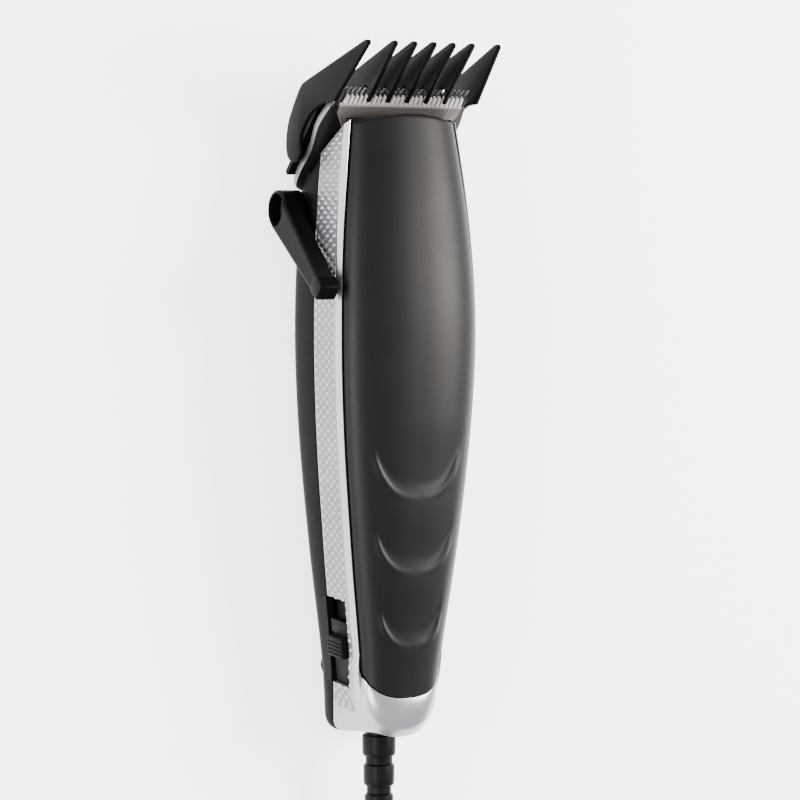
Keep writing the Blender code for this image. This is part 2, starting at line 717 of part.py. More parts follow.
def make_switch_frame():
    """An empty on the side wall: its Y axis runs along the side and its X axis points inwards."""
    back, front = SWITCH_Y - SWITCH_HALF, SWITCH_Y + SWITCH_HALF
    along = Vector((half_width(back) - half_width(front), front - back, band_foot_z(front) - band_foot_z(back)))
    along.normalize()
    inward = along.cross(Vector((0, 0, 1))).normalized()
    up = inward.cross(along)
    frame = bpy.data.objects.new("switch_frame", None)
    matrix = Matrix((inward, along, up)).transposed().to_4x4()
    foot = (-half_width(SWITCH_Y) - BEVEL, SWITCH_Y, band_foot_z(SWITCH_Y))
    matrix.translation = Vector(foot) * MM
    frame.matrix_world = matrix
    bpy.context.collection.objects.link(frame)
    return frame


def make_switch(frame, housing, trim, black, brass):
    window = block("switch_window", (-5, -SWITCH_HALF, -2), (3.5, SWITCH_HALF, SWITCH_HEIGHT), black)
    bezel = block("switch_bezel", (2.6, -SWITCH_HALF - 1.2, 1.0), (3.6, SWITCH_HALF + 1.2, 12.6), black)
    slider = block("switch_slider", (0.8, -12.7, 0.9), (2.2, 6.3, SWITCH_HEIGHT - 0.5), black)
    thumb = block("switch_thumb", (-1.9, -4.4, 1.2), (1.2, 1.6, SWITCH_HEIGHT - 0.9), black)
    bar = block("switch_bar", (0.2, 2.4, 0.9), (1.2, 6.3, SWITCH_HEIGHT - 0.5), black)
    body = block("switch_body", (4.0, -5.5, 0.0), (10.0, 8.0, 9.0), black)
    contact = block("switch_contact", (10.3, -6.0, 2.0), (10.9, 6.0, 7.0), brass)
    hang_on(frame, window, bezel, slider, thumb, bar, body, contact)
    fuse(slider, thumb, bar)
    cut(trim, window)
    cut(housing, bezel_slot(frame, black))


def bezel_slot(frame, black):
    """Room in the housing's rim for the bezel and the switch body behind it."""
    slot = block("bezel_slot", (-1, -SWITCH_HALF, -0.6), (14, SWITCH_HALF, 6), black)
    hang_on(frame, slot)
    return slot


# ---- Cord ----------------------------------------------------------------------------------------


def make_strain_relief(rubber):
    """A flange inside the tail wall, a neck through it, and a ringed sleeve that tapers outside."""
    profile = [(5.4, TAIL_Y + 4.6), (5.4, TAIL_Y + 3.0), (3.2, TAIL_Y + 2.7), (3.2, TAIL_Y - 0.6), (4.6, TAIL_Y - 0.9)]
    rings = 5
    start, pitch = TAIL_Y - 0.9, (TAIL_Y - 0.9 - RELIEF_END_Y) / rings
    for i in range(rings):
        radius = 4.6 - 0.28 * i
        y = start - pitch * i
        profile += [(radius, y - 0.72 * pitch), (radius - 1.0, y - 0.8 * pitch), (radius - 1.0, y - 0.96 * pitch)]
    profile.append((3.1, RELIEF_END_Y))
    relief = turned("strain_relief", profile, rubber, (0, 0, RELIEF_Z), "Y", 20)
    return relief


def make_cord(rubber):
    """The lead lies in a neat coil: one tube to it, the coil's own solid, and one tube to the plug."""
    x, y = COIL_CENTRE
    left = x - OUTER_TURN
    low = CORD / 2 + COIL_LIFT
    lead = [(0, RELIEF_END_Y - GAP, RELIEF_Z), (0, -141, 15.0), (-3, -152, 10.6), (-10, -164, 5.6), (-19, -176, low)]
    lead += [(-28, -187, low), (left - 0.2, -196, low), (left - 0.2, y + 19.5, low)]
    tube("power_cord", along_curve(lead, 10.0), CORD / 2, rubber)
    on_top = COIL_TOP + CORD / 2 + 0.1
    tail = []
    for degrees in range(110, 271, 20):
        angle = math.radians(degrees)
        radius = OUTER_TURN - CORD * degrees / 360
        tail.append((x + radius * math.cos(angle), y + radius * math.sin(angle), on_top))
    tail += [(x + 12, y - 28.6, on_top + 1.0), (x + 21.2, y - 20.5, on_top + 3.0)]
    tail += [(PLUG_X - 0.4, y - 10, PLUG_Z - 0.3), (PLUG_X, PLUG_START_Y - 0.4, PLUG_Z)]
    tube("plug_cord", along_curve(tail, 8.0), CORD / 2, rubber)
    inner, outer = INNER_TURN - CORD / 2, OUTER_TURN + CORD / 2
    high = COIL_TOP
    bevel = 1.6
    section = [
        (inner, COIL_LIFT + bevel),
        (inner + bevel, COIL_LIFT),
        (outer - bevel, COIL_LIFT),
        (outer, COIL_LIFT + bevel),
        (outer, high - bevel),
        (outer - bevel, high),
        (inner + bevel, high),
        (inner, high - bevel),
    ]
    rings = []
    for i in range(40):
        angle = 2 * math.pi * i / 40
        rings.append([(x + r * math.cos(angle), y + r * math.sin(angle), z) for r, z in section])
    add_object("cord_coil", *join_rings(rings, closed_stack=True), rubber)


def make_cord_tie(material):
    """A flat strap round the coil on the side away from the clipper."""
    x, y = COIL_CENTRE
    near, far = y - INNER_TURN + CORD / 2 + GAP + 0.5, y - OUTER_TURN - CORD / 2 - GAP
    high = COIL_TOP + CORD + 2 * GAP
    tie = block("cord_tie", (x - 4, far - 0.9, 0.0), (x + 4, near + 0.9, high + 0.9), material)
    cut(tie, block("tie_window", (x - 8, far - 1.6, COIL_LIFT - GAP), (x + 8, near, high), material))


def make_plug(plastic, steel):
    """A flat two-pin plug with a short sleeve over the cord."""
    y = PLUG_START_Y
    sleeve = [(3.2, y), (3.9, y + 8), (4.6, y + 14)]
    body = [(6.5, y + 12, 4.2), (14.0, y + 20, 6.4), (17.6, y + 30, 6.8), (17.6, y + 37.5, 6.8)]
    rings = []
    for half_x, at_y, half_z in body:
        ring = []
        for a, b in ((-1, -0.45), (-0.75, -1), (0.75, -1), (1, -0.45), (1, 0.45), (0.75, 1), (-0.75, 1), (-1, 0.45)):
            ring.append((PLUG_X + a * half_x, at_y, PLUG_Z + b * half_z))
        rings.append(ring)
    plug = add_object("plug_body", *join_rings(rings), plastic)
    fuse(plug, turned("plug_sleeve", sleeve, plastic, (PLUG_X, 0, PLUG_Z), "Y", 16))
    for side, x in (("left", -8.8), ("right", 8.8)):
        profile = [(2.0, y + 37.5 + GAP), (2.0, y + 55.8), (1.4, y + 56.6)]
        turned(f"plug_pin_{side}", profile, steel, (PLUG_X + x, 0, PLUG_Z), "Y", 16)


def make_cord_clamp(plastic, steel):
    """A saddle that holds the cord's inner end on the case's floor, with its two screws."""
    saddle = prism("cord_clamp", [(-3.2, 5.0), (3.2, 5.0), (3.2, 20.6), (-3.2, 20.6)], -88.0, -85.0, plastic, "Y")
    cut(saddle, rod("clamp_window", 2.9, -95, -80, plastic, (0, 0, RELIEF_Z), "Y", 16))
    profile = [(0.9, 21.0), (1.8, 21.1), (1.8, 22.2)]
    turned("cord_clamp_screw", profile, steel, (0, -86.5, 0), segments=12)


def make_lead_wires(brown, blue):
    """The two cores run from the cord's inner end to the coil and to the switch."""
    coil = [(1.2, -84, 15.8), (2.5, -72, 14), (2.0, -58, 12), (-2.0, -44, 11), (-9.0, -30.8, 21.6), (-10.5, -20.5, 23.4)]
    tube("lead_wire_coil", along_curve(coil, 5.0), 0.8, brown, 1)
    switch = [(-1.2, -84, 15.8), (-1.6, -78, 16.6), (-1.6, -72, 17.6), (-2.6, -67, 18.2)]
    tube("lead_wire_switch", along_curve(switch, 5.0), 0.8, blue, 1)


def main():
    clear_scene()
    black = make_material("satin black plastic", (0.03, 0.03, 0.033), 0.42)
    dark = make_material("black moulded plastic", (0.02, 0.02, 0.022), 0.5)
    silver = make_material("bright silver trim", (0.72, 0.73, 0.75), 0.28, 0.9)
    steel = make_material("ground steel", (0.55, 0.53, 0.5), 0.3, 1.0)
    iron = make_material("lamination steel", (0.3, 0.3, 0.31), 0.5, 0.9)
    copper = make_material("enamelled copper", (0.6, 0.27, 0.12), 0.35, 0.9)
    white = make_material("ivory plastic", (0.75, 0.72, 0.62), 0.5)
    rubber = make_material("black cord jacket", (0.025, 0.025, 0.027), 0.6)
    brass = make_material("brass contact", (0.75, 0.58, 0.3), 0.35, 1.0)
    brown = make_material("brown insulation", (0.2, 0.08, 0.04), 0.5)
    blue = make_material("blue insulation", (0.05, 0.12, 0.4), 0.5)

    blade_frame = make_blade_frame()
    switch_frame = make_switch_frame()
    make_top_cover(black)
    trim = make_silver_frame(silver)
    housing = make_bottom_housing(dark)
    make_nose_insert(dark)
    make_housing_screws(steel)
    make_fixed_blade(blade_frame, steel)
    make_moving_blade(blade_frame, steel)
    make_cutter_yoke(blade_frame, dark)
    make_taper_carriage(blade_frame, white)
    make_tension_spring(blade_frame, steel)
    make_blade_screws(blade_frame, steel)
    make_guide_comb(blade_frame, dark)
    make_taper_lever(dark)
    make_lever_pivot(steel, white)
    make_motor_core(iron)
    make_coil(white, copper)
    make_core_screws(steel)
    make_armature(iron)
    make_armature_mount(steel, steel, white)
    make_power_screw(dark)
    make_switch(switch_frame, housing, trim, dark, brass)
    make_strain_relief(rubber)
    make_cord(rubber)
    make_cord_tie(dark)
    make_plug(dark, steel)
    make_cord_clamp(white, steel)
    make_lead_wires(brown, blue)


main()
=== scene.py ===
"""Looks of the corded hair clipper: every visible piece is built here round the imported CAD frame.

The clipper lies on its back: +Y points to the blade, +Z out of the cover and -X to the taper lever.
Shapes are worked out in millimetres and turned into metres when a mesh or curve is made.
"""

import math

import bmesh
import bpy
from mathutils import Matrix, Vector


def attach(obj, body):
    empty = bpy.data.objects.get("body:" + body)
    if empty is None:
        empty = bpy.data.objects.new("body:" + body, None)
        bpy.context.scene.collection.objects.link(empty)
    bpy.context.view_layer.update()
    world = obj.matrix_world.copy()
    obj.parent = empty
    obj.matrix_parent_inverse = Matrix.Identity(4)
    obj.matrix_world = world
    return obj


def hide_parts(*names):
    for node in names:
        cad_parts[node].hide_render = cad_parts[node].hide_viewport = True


MM = 0.001
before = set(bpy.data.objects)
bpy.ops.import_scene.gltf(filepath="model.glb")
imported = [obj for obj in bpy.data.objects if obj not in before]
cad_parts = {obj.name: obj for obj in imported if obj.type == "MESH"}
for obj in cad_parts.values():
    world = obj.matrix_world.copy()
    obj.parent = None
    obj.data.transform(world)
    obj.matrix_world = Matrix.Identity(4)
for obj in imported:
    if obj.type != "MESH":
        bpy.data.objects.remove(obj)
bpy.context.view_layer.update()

# ---- Driving sizes: those that the CAD part has too are the same there -------------------------

TAIL_Y = -95.0
COVER_FRONT_Y = 88.3
COVER_END_Y = -82.7
FRONT_ARC = 2.5
HALF_WIDTH = [(-95, 11.8), (-75, 12.9), (-40, 17.3), (-5, 20.8), (25, 22.0), (55, 20.7), (92, 16.4)]
PARTING_Z = [(-95, 26.8), (-60, 29.6), (-20, 32.3), (25, 33.9), (60, 32.4), (92, 29.8)]
CROWN = [(-95, 5.6), (-40, 7.2), (25, 8.1), (60, 7.4), (92, 5.2)]
BEVEL = 1.5
BAND = 15.6
GAP = 0.3
COVER_WALL = 2.0
COVER_RIM = 0.9
WALL = 2.2
BACK_FILLET = 9.0
COVER_END_ROUND = 13.0
CORNER_START_Y = COVER_END_Y + COVER_END_ROUND
END_POWER = 2.6  # how full the rounded tail is: 2 gives an ellipse
FOOT_ROUND = 4.0
CREASE_Y = -91.2

FRAME_FRONT_TOP_Y = 86.2
FRAME_FRONT_FOOT_Y = 76.7
KNURL_PITCH_Y = 2.7
KNURL_PITCH_Z = 4.0
KNURL_HEIGHT = 0.6
# Faces whose bump lift is below this get the darker silver: painted shade between the bumps.
PAINTED_SHADE_LIFT = -0.02
SIDE_SECTIONS = 521
KNURLED = range(5, 44)  # the points of a frame section that are on its upright side

BOSSES = ((-7.6, -76.0), (7.6, -76.0), (-13.0, 48.0), (13.0, 48.0))
CORE_SCREWS = ((-10.5, -25.0), (-10.5, 7.0))
POWER_SCREW = (0.0, 20.0, 13.4)
BLADE_SCREW_X = (-9.0, 9.0)
BLADE_SCREW_U = -36.5
GRIPS = ((-22.6, 13.6, 11.0), (-44.8, 12.0, 9.0), (-66.6, 9.6, 7.6))  # lowest y, half width, rise to the ends

BLADE_TIP = (0.0, 95.2, 32.5)
BLADE_TILT = math.radians(45)
BLADE_FLANK = [(-41, 19.5), (-40, 21.6), (-34, 22.7), (-25, 22.3), (-15, 23.6), (-7.0, 22.6)]
BLADE_THICK = 2.2
TOOTH_COUNT = 28
CUTTER_FLANK = [(-16, 15.5), (-9, 20.0), (-5.2, 20.3)]
CUTTER_SETBACK = 1.7
CUTTER_TOOTH_COUNT = 26
CUTTER_THICK = 1.2
COMB_FIN = 1.3
COMB_FIN_X = (0.0, 6.4, 12.8)
COMB_TIP_U = 20.3
COMB_LEAN_U = -12.0  # where the comb's sides start to lean in
COMB_SIDE_TIP_X = 21.6
COMB_SIDE_X = 24.6

HUB = (-25.6, 60.4, 8.0)
HUB_AXIS = (0.0, HUB[1], HUB[2])
LEVER_REACH = 37.0
LEVER_ANGLE = math.radians(131)

SWITCH_Y = -66.5
SWITCH_HALF = 13.2
SWITCH_HEIGHT = 11.0

CORD = 5.0
RELIEF_Z = 15.8
RELIEF_END_Y = -133.0
COIL_CENTRE = (2.0, -222.0)
OUTER_TURN = 35.0
COIL_LAYERS = 4
LAYER_TURNS = 2.875
LAST_TURN = 0.75  # a part turn on top of the layers
COIL_LIFT = 0.7
COIL_TOP = COIL_LIFT + COIL_LAYERS * CORD
PLUG_X = COIL_CENTRE[0] + 25.0
PLUG_Z = COIL_TOP + 6.9
PLUG_START_Y = COIL_CENTRE[1] - 4.0

# ---- Shape helpers -----------------------------------------------------------------------------


def smooth(keys, at):
    """The value at `at` of a smooth curve through keys, (place, value) pairs in rising order."""
    last = len(keys) - 1
    at = min(max(at, keys[0][0]), keys[last][0])
    start = max(i for i in range(last) if keys[i][0] <= at)

    def slope(i):
        before, after = keys[max(i - 1, 0)], keys[min(i + 1, last)]
        return (after[1] - before[1]) / (after[0] - before[0])

    (x0, y0), (x1, y1) = keys[start], keys[start + 1]
    span = x1 - x0
    t = (at - x0) / span
    rise = t * t * (3 - 2 * t)
    leave = (t**3 - 2 * t**2 + t) * span * slope(start)
    arrive = (t**3 - t**2) * span * slope(start + 1)
    return y0 * (1 - rise) + y1 * rise + leave + arrive


def half_width(y):
    return smooth(HALF_WIDTH, y)


def parting_z(y):
    return smooth(PARTING_Z, y)


def band_foot_z(y):
    return parting_z(y) - BAND


def crown_z(x, y):
    """Height of the crowned face, which the cover and the frame's tail share."""
    across = min(abs(x) / half_width(y), 1.0)
    return parting_z(y) + smooth(CROWN, y) * (1 - across**2.4) ** 0.6


def quarter(half, start_y, depth, angle):
    """A point on a rounded end: `half` wide at start_y, and `depth` further down at the middle."""
    c, s = math.cos(angle), math.sin(angle)
    return half * max(c, 0.0) ** (2 / END_POWER), start_y - depth * s ** (2 / END_POWER)


def foot_corner(t, inset=0.0):
    """A point on the foot's nearly square tail corner: t goes from CORNER_START_Y to the middle."""
    half, tail = half_width(TAIL_Y + FOOT_ROUND) + BEVEL - inset, TAIL_Y + inset
    straight, arc = CORNER_START_Y - tail - FOOT_ROUND, FOOT_ROUND * math.pi / 2
    along = t * (straight + arc + half - FOOT_ROUND)
    if along < straight:
        y = CORNER_START_Y - along
        return half_width(y) + BEVEL - inset, y
    if along < straight + arc:
        angle = (along - straight) / FOOT_ROUND
        return half - FOOT_ROUND * (1 - math.cos(angle)), tail + FOOT_ROUND * (1 - math.sin(angle))
    return half - FOOT_ROUND - (along - straight - arc), tail


def ramp(value, low, high):
    """0 below low, 1 above high, and a smooth rise between."""
    t = min(max((value - low) / (high - low), 0.0), 1.0)
    return t * t * (3 - 2 * t)


def steps(start, end, count):
    return [start + (end - start) * i / count for i in range(count + 1)]


def along_curve(stops, spacing):
    """Points about `spacing` apart on the Catmull-Rom curve through the stops."""
    ends = [Vector(stop) for stop in stops]
    ends = [2 * ends[0] - ends[1], *ends, 2 * ends[-1] - ends[-2]]
    points = []
    for a, b, c, d in zip(ends, ends[1:], ends[2:], ends[3:]):
        count = max(2, round((c - b).length / spacing))
        for i in range(count):
            t = i / count
            cubic = (3 * b - a - 3 * c + d) * t**3
            points.append(0.5 * (2 * b + (c - a) * t + (2 * a - 5 * b + 4 * c - d) * t**2 + cubic))
    points.append(ends[-2])
    return [tuple(point) for point in points]


# ---- Objects -----------------------------------------------------------------------------------


def add_object(name, points, faces, material, body=None, sharp=35):
    """A mesh object from millimetre points, smooth but for edges sharper than `sharp` degrees."""
    mesh = bpy.data.meshes.new(name)
    mesh.from_pydata([tuple(MM * c for c in point) for point in points], [], faces)
    mesh.materials.append(material)
    edit = bmesh.new()
    edit.from_mesh(mesh)
    bmesh.ops.recalc_face_normals(edit, faces=edit.faces)
    edit.to_mesh(mesh)
    edit.free()
    mesh.shade_smooth()
    mesh.set_sharp_from_angle(angle=math.radians(sharp))
    obj = bpy.data.objects.new(name, mesh)
    bpy.context.scene.collection.objects.link(obj)
    if body:
        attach(obj, body)
    return obj


def join_rings(rings, closed_stack=False):
    """Points and faces of a skin over rings of equal counts, capped at the ends unless the stack closes."""
    count = len(rings[0])
    points = [point for ring in rings for point in ring]
    faces = []
    for r in range(len(rings) if closed_stack else len(rings) - 1):
        low, high = r * count, (r + 1) % len(rings) * count
        for i in range(count):
            j = (i + 1) % count
            faces.append((low + i, low + j, high + j, high + i))
    if not closed_stack:
        faces.append(tuple(range(count))[::-1])
        faces.append(tuple(range(len(points) - count, len(points))))
    return points, faces


def turned(name, profile, material, centre=(0, 0, 0), axis="Z", body=None, segments=64):
    """A solid of revolution from (radius, height) pairs."""
    turn = {
        "X": lambda a, b, h: (h, a, b),
        "Y": lambda a, b, h: (b, h, a),
        "Z": lambda a, b, h: (a, b, h),
    }[axis]
    rings = []
    for radius, height in profile:
        ring = []
        for i in range(segments):
            angle = 2 * math.pi * i / segments
            place = turn(radius * math.cos(angle), radius * math.sin(angle), height)
            ring.append(tuple(p + c for p, c in zip(place, centre)))
        rings.append(ring)
    return add_object(name, *join_rings(rings), material, body)


def prism(name, outline, low, high, material, along="X", body=None):
    """An outline extruded from low to high: (y, z) along X, or (x, y) along Z."""
    rings = [[(d, a, b) if along == "X" else (a, b, d) for a, b in outline] for d in (low, high)]
    return add_object(name, *join_rings(rings), material, body)


def block(name, low, high, material, body=None):
    outline = [(low[0], low[1]), (high[0], low[1]), (high[0], high[1]), (low[0], high[1])]
    return prism(name, outline, low[2], high[2], material, "Z", body)


def apply_modifiers(obj):
    """Replaces the object's mesh by the mesh that its modifiers make."""
    graph = bpy.context.evaluated_depsgraph_get()
    mesh = bpy.data.meshes.new_from_object(obj.evaluated_get(graph))
    old = obj.data
    obj.modifiers.clear()
    obj.data = mesh
    bpy.data.meshes.remove(old)


def round_edges(obj, width, segments=3, angle=40):
    modifier = obj.modifiers.new("Round edges", "BEVEL")
    modifier.width = width * MM
    modifier.segments = segments
    modifier.limit_method = "ANGLE"
    modifier.angle_limit = math.radians(angle)
    modifier.use_clamp_overlap = True
    modifier.harden_normals = False
    apply_modifiers(obj)
    obj.data.shade_smooth()
    obj.data.set_sharp_from_angle(angle=math.radians(50))


def combine(obj, others, operation):
    """Booleans the others into the object one by one, and removes them."""
    for other in others:
        modifier = obj.modifiers.new(operation.title(), "BOOLEAN")
        modifier.operation = operation
        modifier.solver = "EXACT"
        modifier.object = other
        apply_modifiers(obj)
        bpy.data.objects.remove(other, do_unlink=True)
    obj.data.shade_smooth()
    obj.data.set_sharp_from_angle(angle=math.radians(35))


def cut(obj, *others):
    combine(obj, others, "DIFFERENCE")


def fuse(obj, *others):
    combine(obj, others, "UNION")


def reshape(obj, matrix):
    """Turns and shifts the object's points, leaving its origin alone."""
    obj.data.transform(matrix)


BLADE_MATRIX = Matrix.Translation(Vector(BLADE_TIP) * MM) @ Matrix.Rotation(BLADE_TILT, 4, "X")

# ---- Materials ---------------------------------------------------------------------------------


def make_material(
    name, colour, roughness, metallic=0.0, uneven=0.06, tint=0.12, grain=0.1, grain_scale=1800.0, gloss=0.5,
    glow=0.0,
):
    """A finish whose colour and roughness wander over centimetres, with a fine surface grain."""
    material = bpy.data.materials.new(name)
    material.use_nodes = True
    nodes, links = material.node_tree.nodes, material.node_tree.links
    shader = nodes["Principled BSDF"]
    shader.inputs["Metallic"].default_value = metallic
    shader.inputs["Specular IOR Level"].default_value = gloss
    place = nodes.new("ShaderNodeTexCoord")

    broad = nodes.new("ShaderNodeTexNoise")
    broad.inputs["Scale"].default_value = 90.0
    broad.inputs["Detail"].default_value = 6.0
    links.new(place.outputs["Object"], broad.inputs["Vector"])

    level = nodes.new("ShaderNodeMapRange")
    level.inputs["To Min"].default_value = max(roughness - uneven, 0.03)
    level.inputs["To Max"].default_value = min(roughness + uneven, 1.0)
    links.new(broad.outputs["Fac"], level.inputs["Value"])
    links.new(level.outputs["Result"], shader.inputs["Roughness"])

    shade = nodes.new("ShaderNodeValToRGB")
    for element, factor in zip(shade.color_ramp.elements, (1.0 - tint, 1.0 + tint)):
        element.color = (*(min(c * factor, 1.0) for c in colour), 1.0)
    shade.color_ramp.elements[0].position = 0.3
    shade.color_ramp.elements[1].position = 0.7
    links.new(broad.outputs["Fac"], shade.inputs["Fac"])
    links.new(shade.outputs["Color"], shader.inputs["Base Color"])

    fine = nodes.new("ShaderNodeTexNoise")
    fine.inputs["Scale"].default_value = grain_scale
    fine.inputs["Detail"].default_value = 4.0
    links.new(place.outputs["Object"], fine.inputs["Vector"])
    bump = nodes.new("ShaderNodeBump")
    bump.inputs["Strength"].default_value = grain
    bump.inputs["Distance"].default_value = 0.0001
    links.new(fine.outputs["Fac"], bump.inputs["Height"])
    links.new(bump.outputs["Normal"], shader.inputs["Normal"])
    shader.inputs["Emission Color"].default_value = (*colour, 1.0)
    shader.inputs["Emission Strength"].default_value = glow
    return material


def colour_by(material, value, low_colour, high_colour, high_at=1.0):
    """Colours the material by a value: low_colour at 0, and high_colour from high_at up."""
    nodes, links = material.node_tree.nodes, material.node_tree.links
    shade = nodes.new("ShaderNodeValToRGB")
    shade.color_ramp.elements[0].color = (*low_colour, 1.0)
    shade.color_ramp.elements[1].color = (*high_colour, 1.0)
    shade.color_ramp.elements[1].position = high_at
    links.new(value, shade.inputs["Fac"])
    links.new(shade.outputs["Color"], nodes["Principled BSDF"].inputs["Base Color"])


def coordinate(material, axis):
    """The output that gives a place's coordinate on the axis, in metres."""
    nodes, links = material.node_tree.nodes, material.node_tree.links
    split = nodes.new("ShaderNodeSeparateXYZ")
    links.new(nodes["Texture Coordinate"].outputs["Object"], split.inputs["Vector"])
    return split.outputs[axis]


def add_bands(material, axis, period_mm, light, dark, share):
    """Stripes the material across one axis, as wound wire or stacked sheets are."""
    nodes, links = material.node_tree.nodes, material.node_tree.links
    wrap = nodes.new("ShaderNodeMath")
    wrap.operation = "PINGPONG"
    wrap.inputs[1].default_value = period_mm * MM / 2
    links.new(coordinate(material, axis), wrap.inputs[0])
    level = nodes.new("ShaderNodeMapRange")
    level.inputs["From Max"].default_value = period_mm * MM / 2
    links.new(wrap.outputs["Value"], level.inputs["Value"])
    colour_by(material, level.outputs["Result"], dark, light, share)
    bump = nodes.new("ShaderNodeBump")
    bump.inputs["Distance"].default_value = 0.0003
    links.new(level.outputs["Result"], bump.inputs["Height"])
    links.new(nodes["Bump"].outputs["Normal"], bump.inputs["Normal"])
    links.new(bump.outputs["Normal"], nodes["Principled BSDF"].inputs["Normal"])


def add_painted_tooth_highlight(material, start_mm, end_mm, plain, bright):
    """Turns the material bright along Y: a painted highlight on the teeth."""
    nodes, links = material.node_tree.nodes, material.node_tree.links
    level = nodes.new("ShaderNodeMapRange")
    level.inputs["From Min"].default_value = start_mm * MM
    level.inputs["From Max"].default_value = end_mm * MM
    links.new(coordinate(material, "Y"), level.inputs["Value"])
    colour_by(material, level.outputs["Result"], plain, bright)


CUTTER_COLOUR = (0.1, 0.085, 0.075)
# Colour of the painted highlight on the cutter's teeth.
TOOTH_HIGHLIGHT_COLOUR = (0.55, 0.53, 0.5)

SOFT_BLACK = make_material(
    "Soft-touch black", (0.0034, 0.0029, 0.0027), 0.42, uneven=0.04, grain=0.2, gloss=0.13
)
HOUSING_BLACK = make_material(
    "Housing black", (0.003, 0.003, 0.0033), 0.5, grain=0.35, grain_scale=1300.0, gloss=0.04
)
COMB_BLACK = make_material("Comb black", (0.0014, 0.0014, 0.0015), 0.36, uneven=0.07, grain=0.12, gloss=0.03)
SILVER = make_material(
    "Silver trim", (0.33, 0.33, 0.34), 0.3, metallic=0.9, uneven=0.05, tint=0.04, grain=0.08
)
# Darker silver for the faces between the bumps: painted shade.
SILVER_PAINTED_SHADE = make_material("Frame painted shade between its bumps", (0.17, 0.17, 0.178), 0.4, metallic=0.7, uneven=0.08)
GROUND_STEEL = make_material(
    "Ground steel", (0.17, 0.165, 0.16), 0.42, metallic=0.7, uneven=0.08, tint=0.08, grain=0.06
)
# Blued steel for the lever screw; the same dark colour on the fixed blade's top face is painted shade.
BLUED_STEEL_AND_SHADE = make_material("Blued steel and painted shade", (0.008, 0.0075, 0.0075), 0.42, metallic=0.6, grain=0.06)
CUTTER_STEEL = make_material("Cutter steel", CUTTER_COLOUR, 0.48, metallic=0.5, grain=0.06)
PLATED_STEEL = make_material("Plated steel", (0.62, 0.61, 0.58), 0.24, metallic=1.0, grain=0.15)
SPRING_STEEL = make_material("Spring steel", (0.36, 0.36, 0.38), 0.3, metallic=1.0, grain=0.2)
IRON = make_material("Stacked iron sheets", (0.2, 0.2, 0.21), 0.45, metallic=0.9, grain=0.3)
COPPER = make_material("Enamelled copper wire", (0.6, 0.22, 0.08), 0.3, metallic=0.9)
IVORY = make_material("Ivory plastic", (0.62, 0.56, 0.42), 0.45, grain=0.15)
BRASS = make_material("Brass", (0.66, 0.48, 0.2), 0.28, metallic=1.0, grain=0.15)
CORD_BLACK = make_material(
    "Cord jacket", (0.003, 0.003, 0.0032), 0.42, grain=0.3, grain_scale=1200.0, gloss=0.06
)
BROWN_WIRE = make_material("Brown wire", (0.13, 0.045, 0.016), 0.4, grain=0.15)
BLUE_WIRE = make_material("Blue wire", (0.02, 0.08, 0.32), 0.4, grain=0.15)
FLOOR_WHITE = make_material("Floor", (0.86, 0.86, 0.86), 0.6, uneven=0.02, tint=0.004, grain=0.02, glow=2.8)
# The cutter's teeth get a painted highlight.
add_painted_tooth_highlight(CUTTER_STEEL, 90.0, 91.2, CUTTER_COLOUR, TOOTH_HIGHLIGHT_COLOUR)
add_bands(IRON, "Z", 0.5, (0.24, 0.24, 0.25), (0.05, 0.05, 0.055), 0.3)
add_bands(COPPER, "Y", 0.4, (0.66, 0.25, 0.09), (0.16, 0.05, 0.02), 0.6)

# ---- Camera, light and floor -------------------------------------------------------------------

CAMERA_TARGET = (-1.2, 4.7, 30.5)
CAMERA_DISTANCE = 880.0
CAMERA_LEAN = math.radians(30)  # towards the lever side
CAMERA_RISE = math.radians(3)  # towards the blade
FLOOR_HALF = 3000.0


def aim(obj, place, target, up):
    """Points the object's -Z from place to target, both in millimetres, with up nearest its +Y."""
    forward = (Vector(target) - Vector(place)).normalized()
    right = forward.cross(Vector(up)).normalized()
    top = right.cross(forward)
    turn = Matrix((right, top, -forward)).transposed().to_4x4()
    obj.matrix_world = Matrix.Translation(Vector(place) * MM) @ turn


def make_camera():
    data = bpy.data.cameras.new("Camera")
    data.lens = 135.0
    data.sensor_width = 36.0
    data.clip_start = 0.01
    data.clip_end = 20.0
    camera = bpy.data.objects.new("Camera", data)
    bpy.context.scene.collection.objects.link(camera)
    offset = Vector((
        -math.sin(CAMERA_LEAN) * math.cos(CAMERA_RISE),
        math.sin(CAMERA_RISE),
        math.cos(CAMERA_LEAN) * math.cos(CAMERA_RISE),
    ))
    aim(camera, Vector(CAMERA_TARGET) + CAMERA_DISTANCE * offset, CAMERA_TARGET, (0, 1, 0))
    bpy.context.scene.camera = camera


def make_light(name, place, target, size, power, colour=(1.0, 1.0, 1.0)):
    data = bpy.data.lights.new(name, "AREA")
    data.shape = "RECTANGLE"
    data.size, data.size_y = size[0] * MM, size[1] * MM
    data.energy = power
    data.color = colour
    light = bpy.data.objects.new(name, data)
    bpy.context.scene.collection.objects.link(light)
    aim(light, place, target, (0, 1, 0.001))


def make_floor():
    half = FLOOR_HALF
    corners = [(-half, -half, 0), (half, -half, 0), (half, half, 0), (-half, half, 0)]
    floor = add_object("Floor", corners, [(0, 1, 2, 3)], FLOOR_WHITE)


def make_world():
    world = bpy.data.worlds.new("Studio")
    world.use_nodes = True
    background = world.node_tree.nodes["Background"]
    background.inputs["Color"].default_value = (0.93, 0.95, 1.0, 1.0)
    background.inputs["Strength"].default_value = 1.5
    bpy.context.scene.world = world


# ---- Mains cord --------------------------------------------------------------------------------


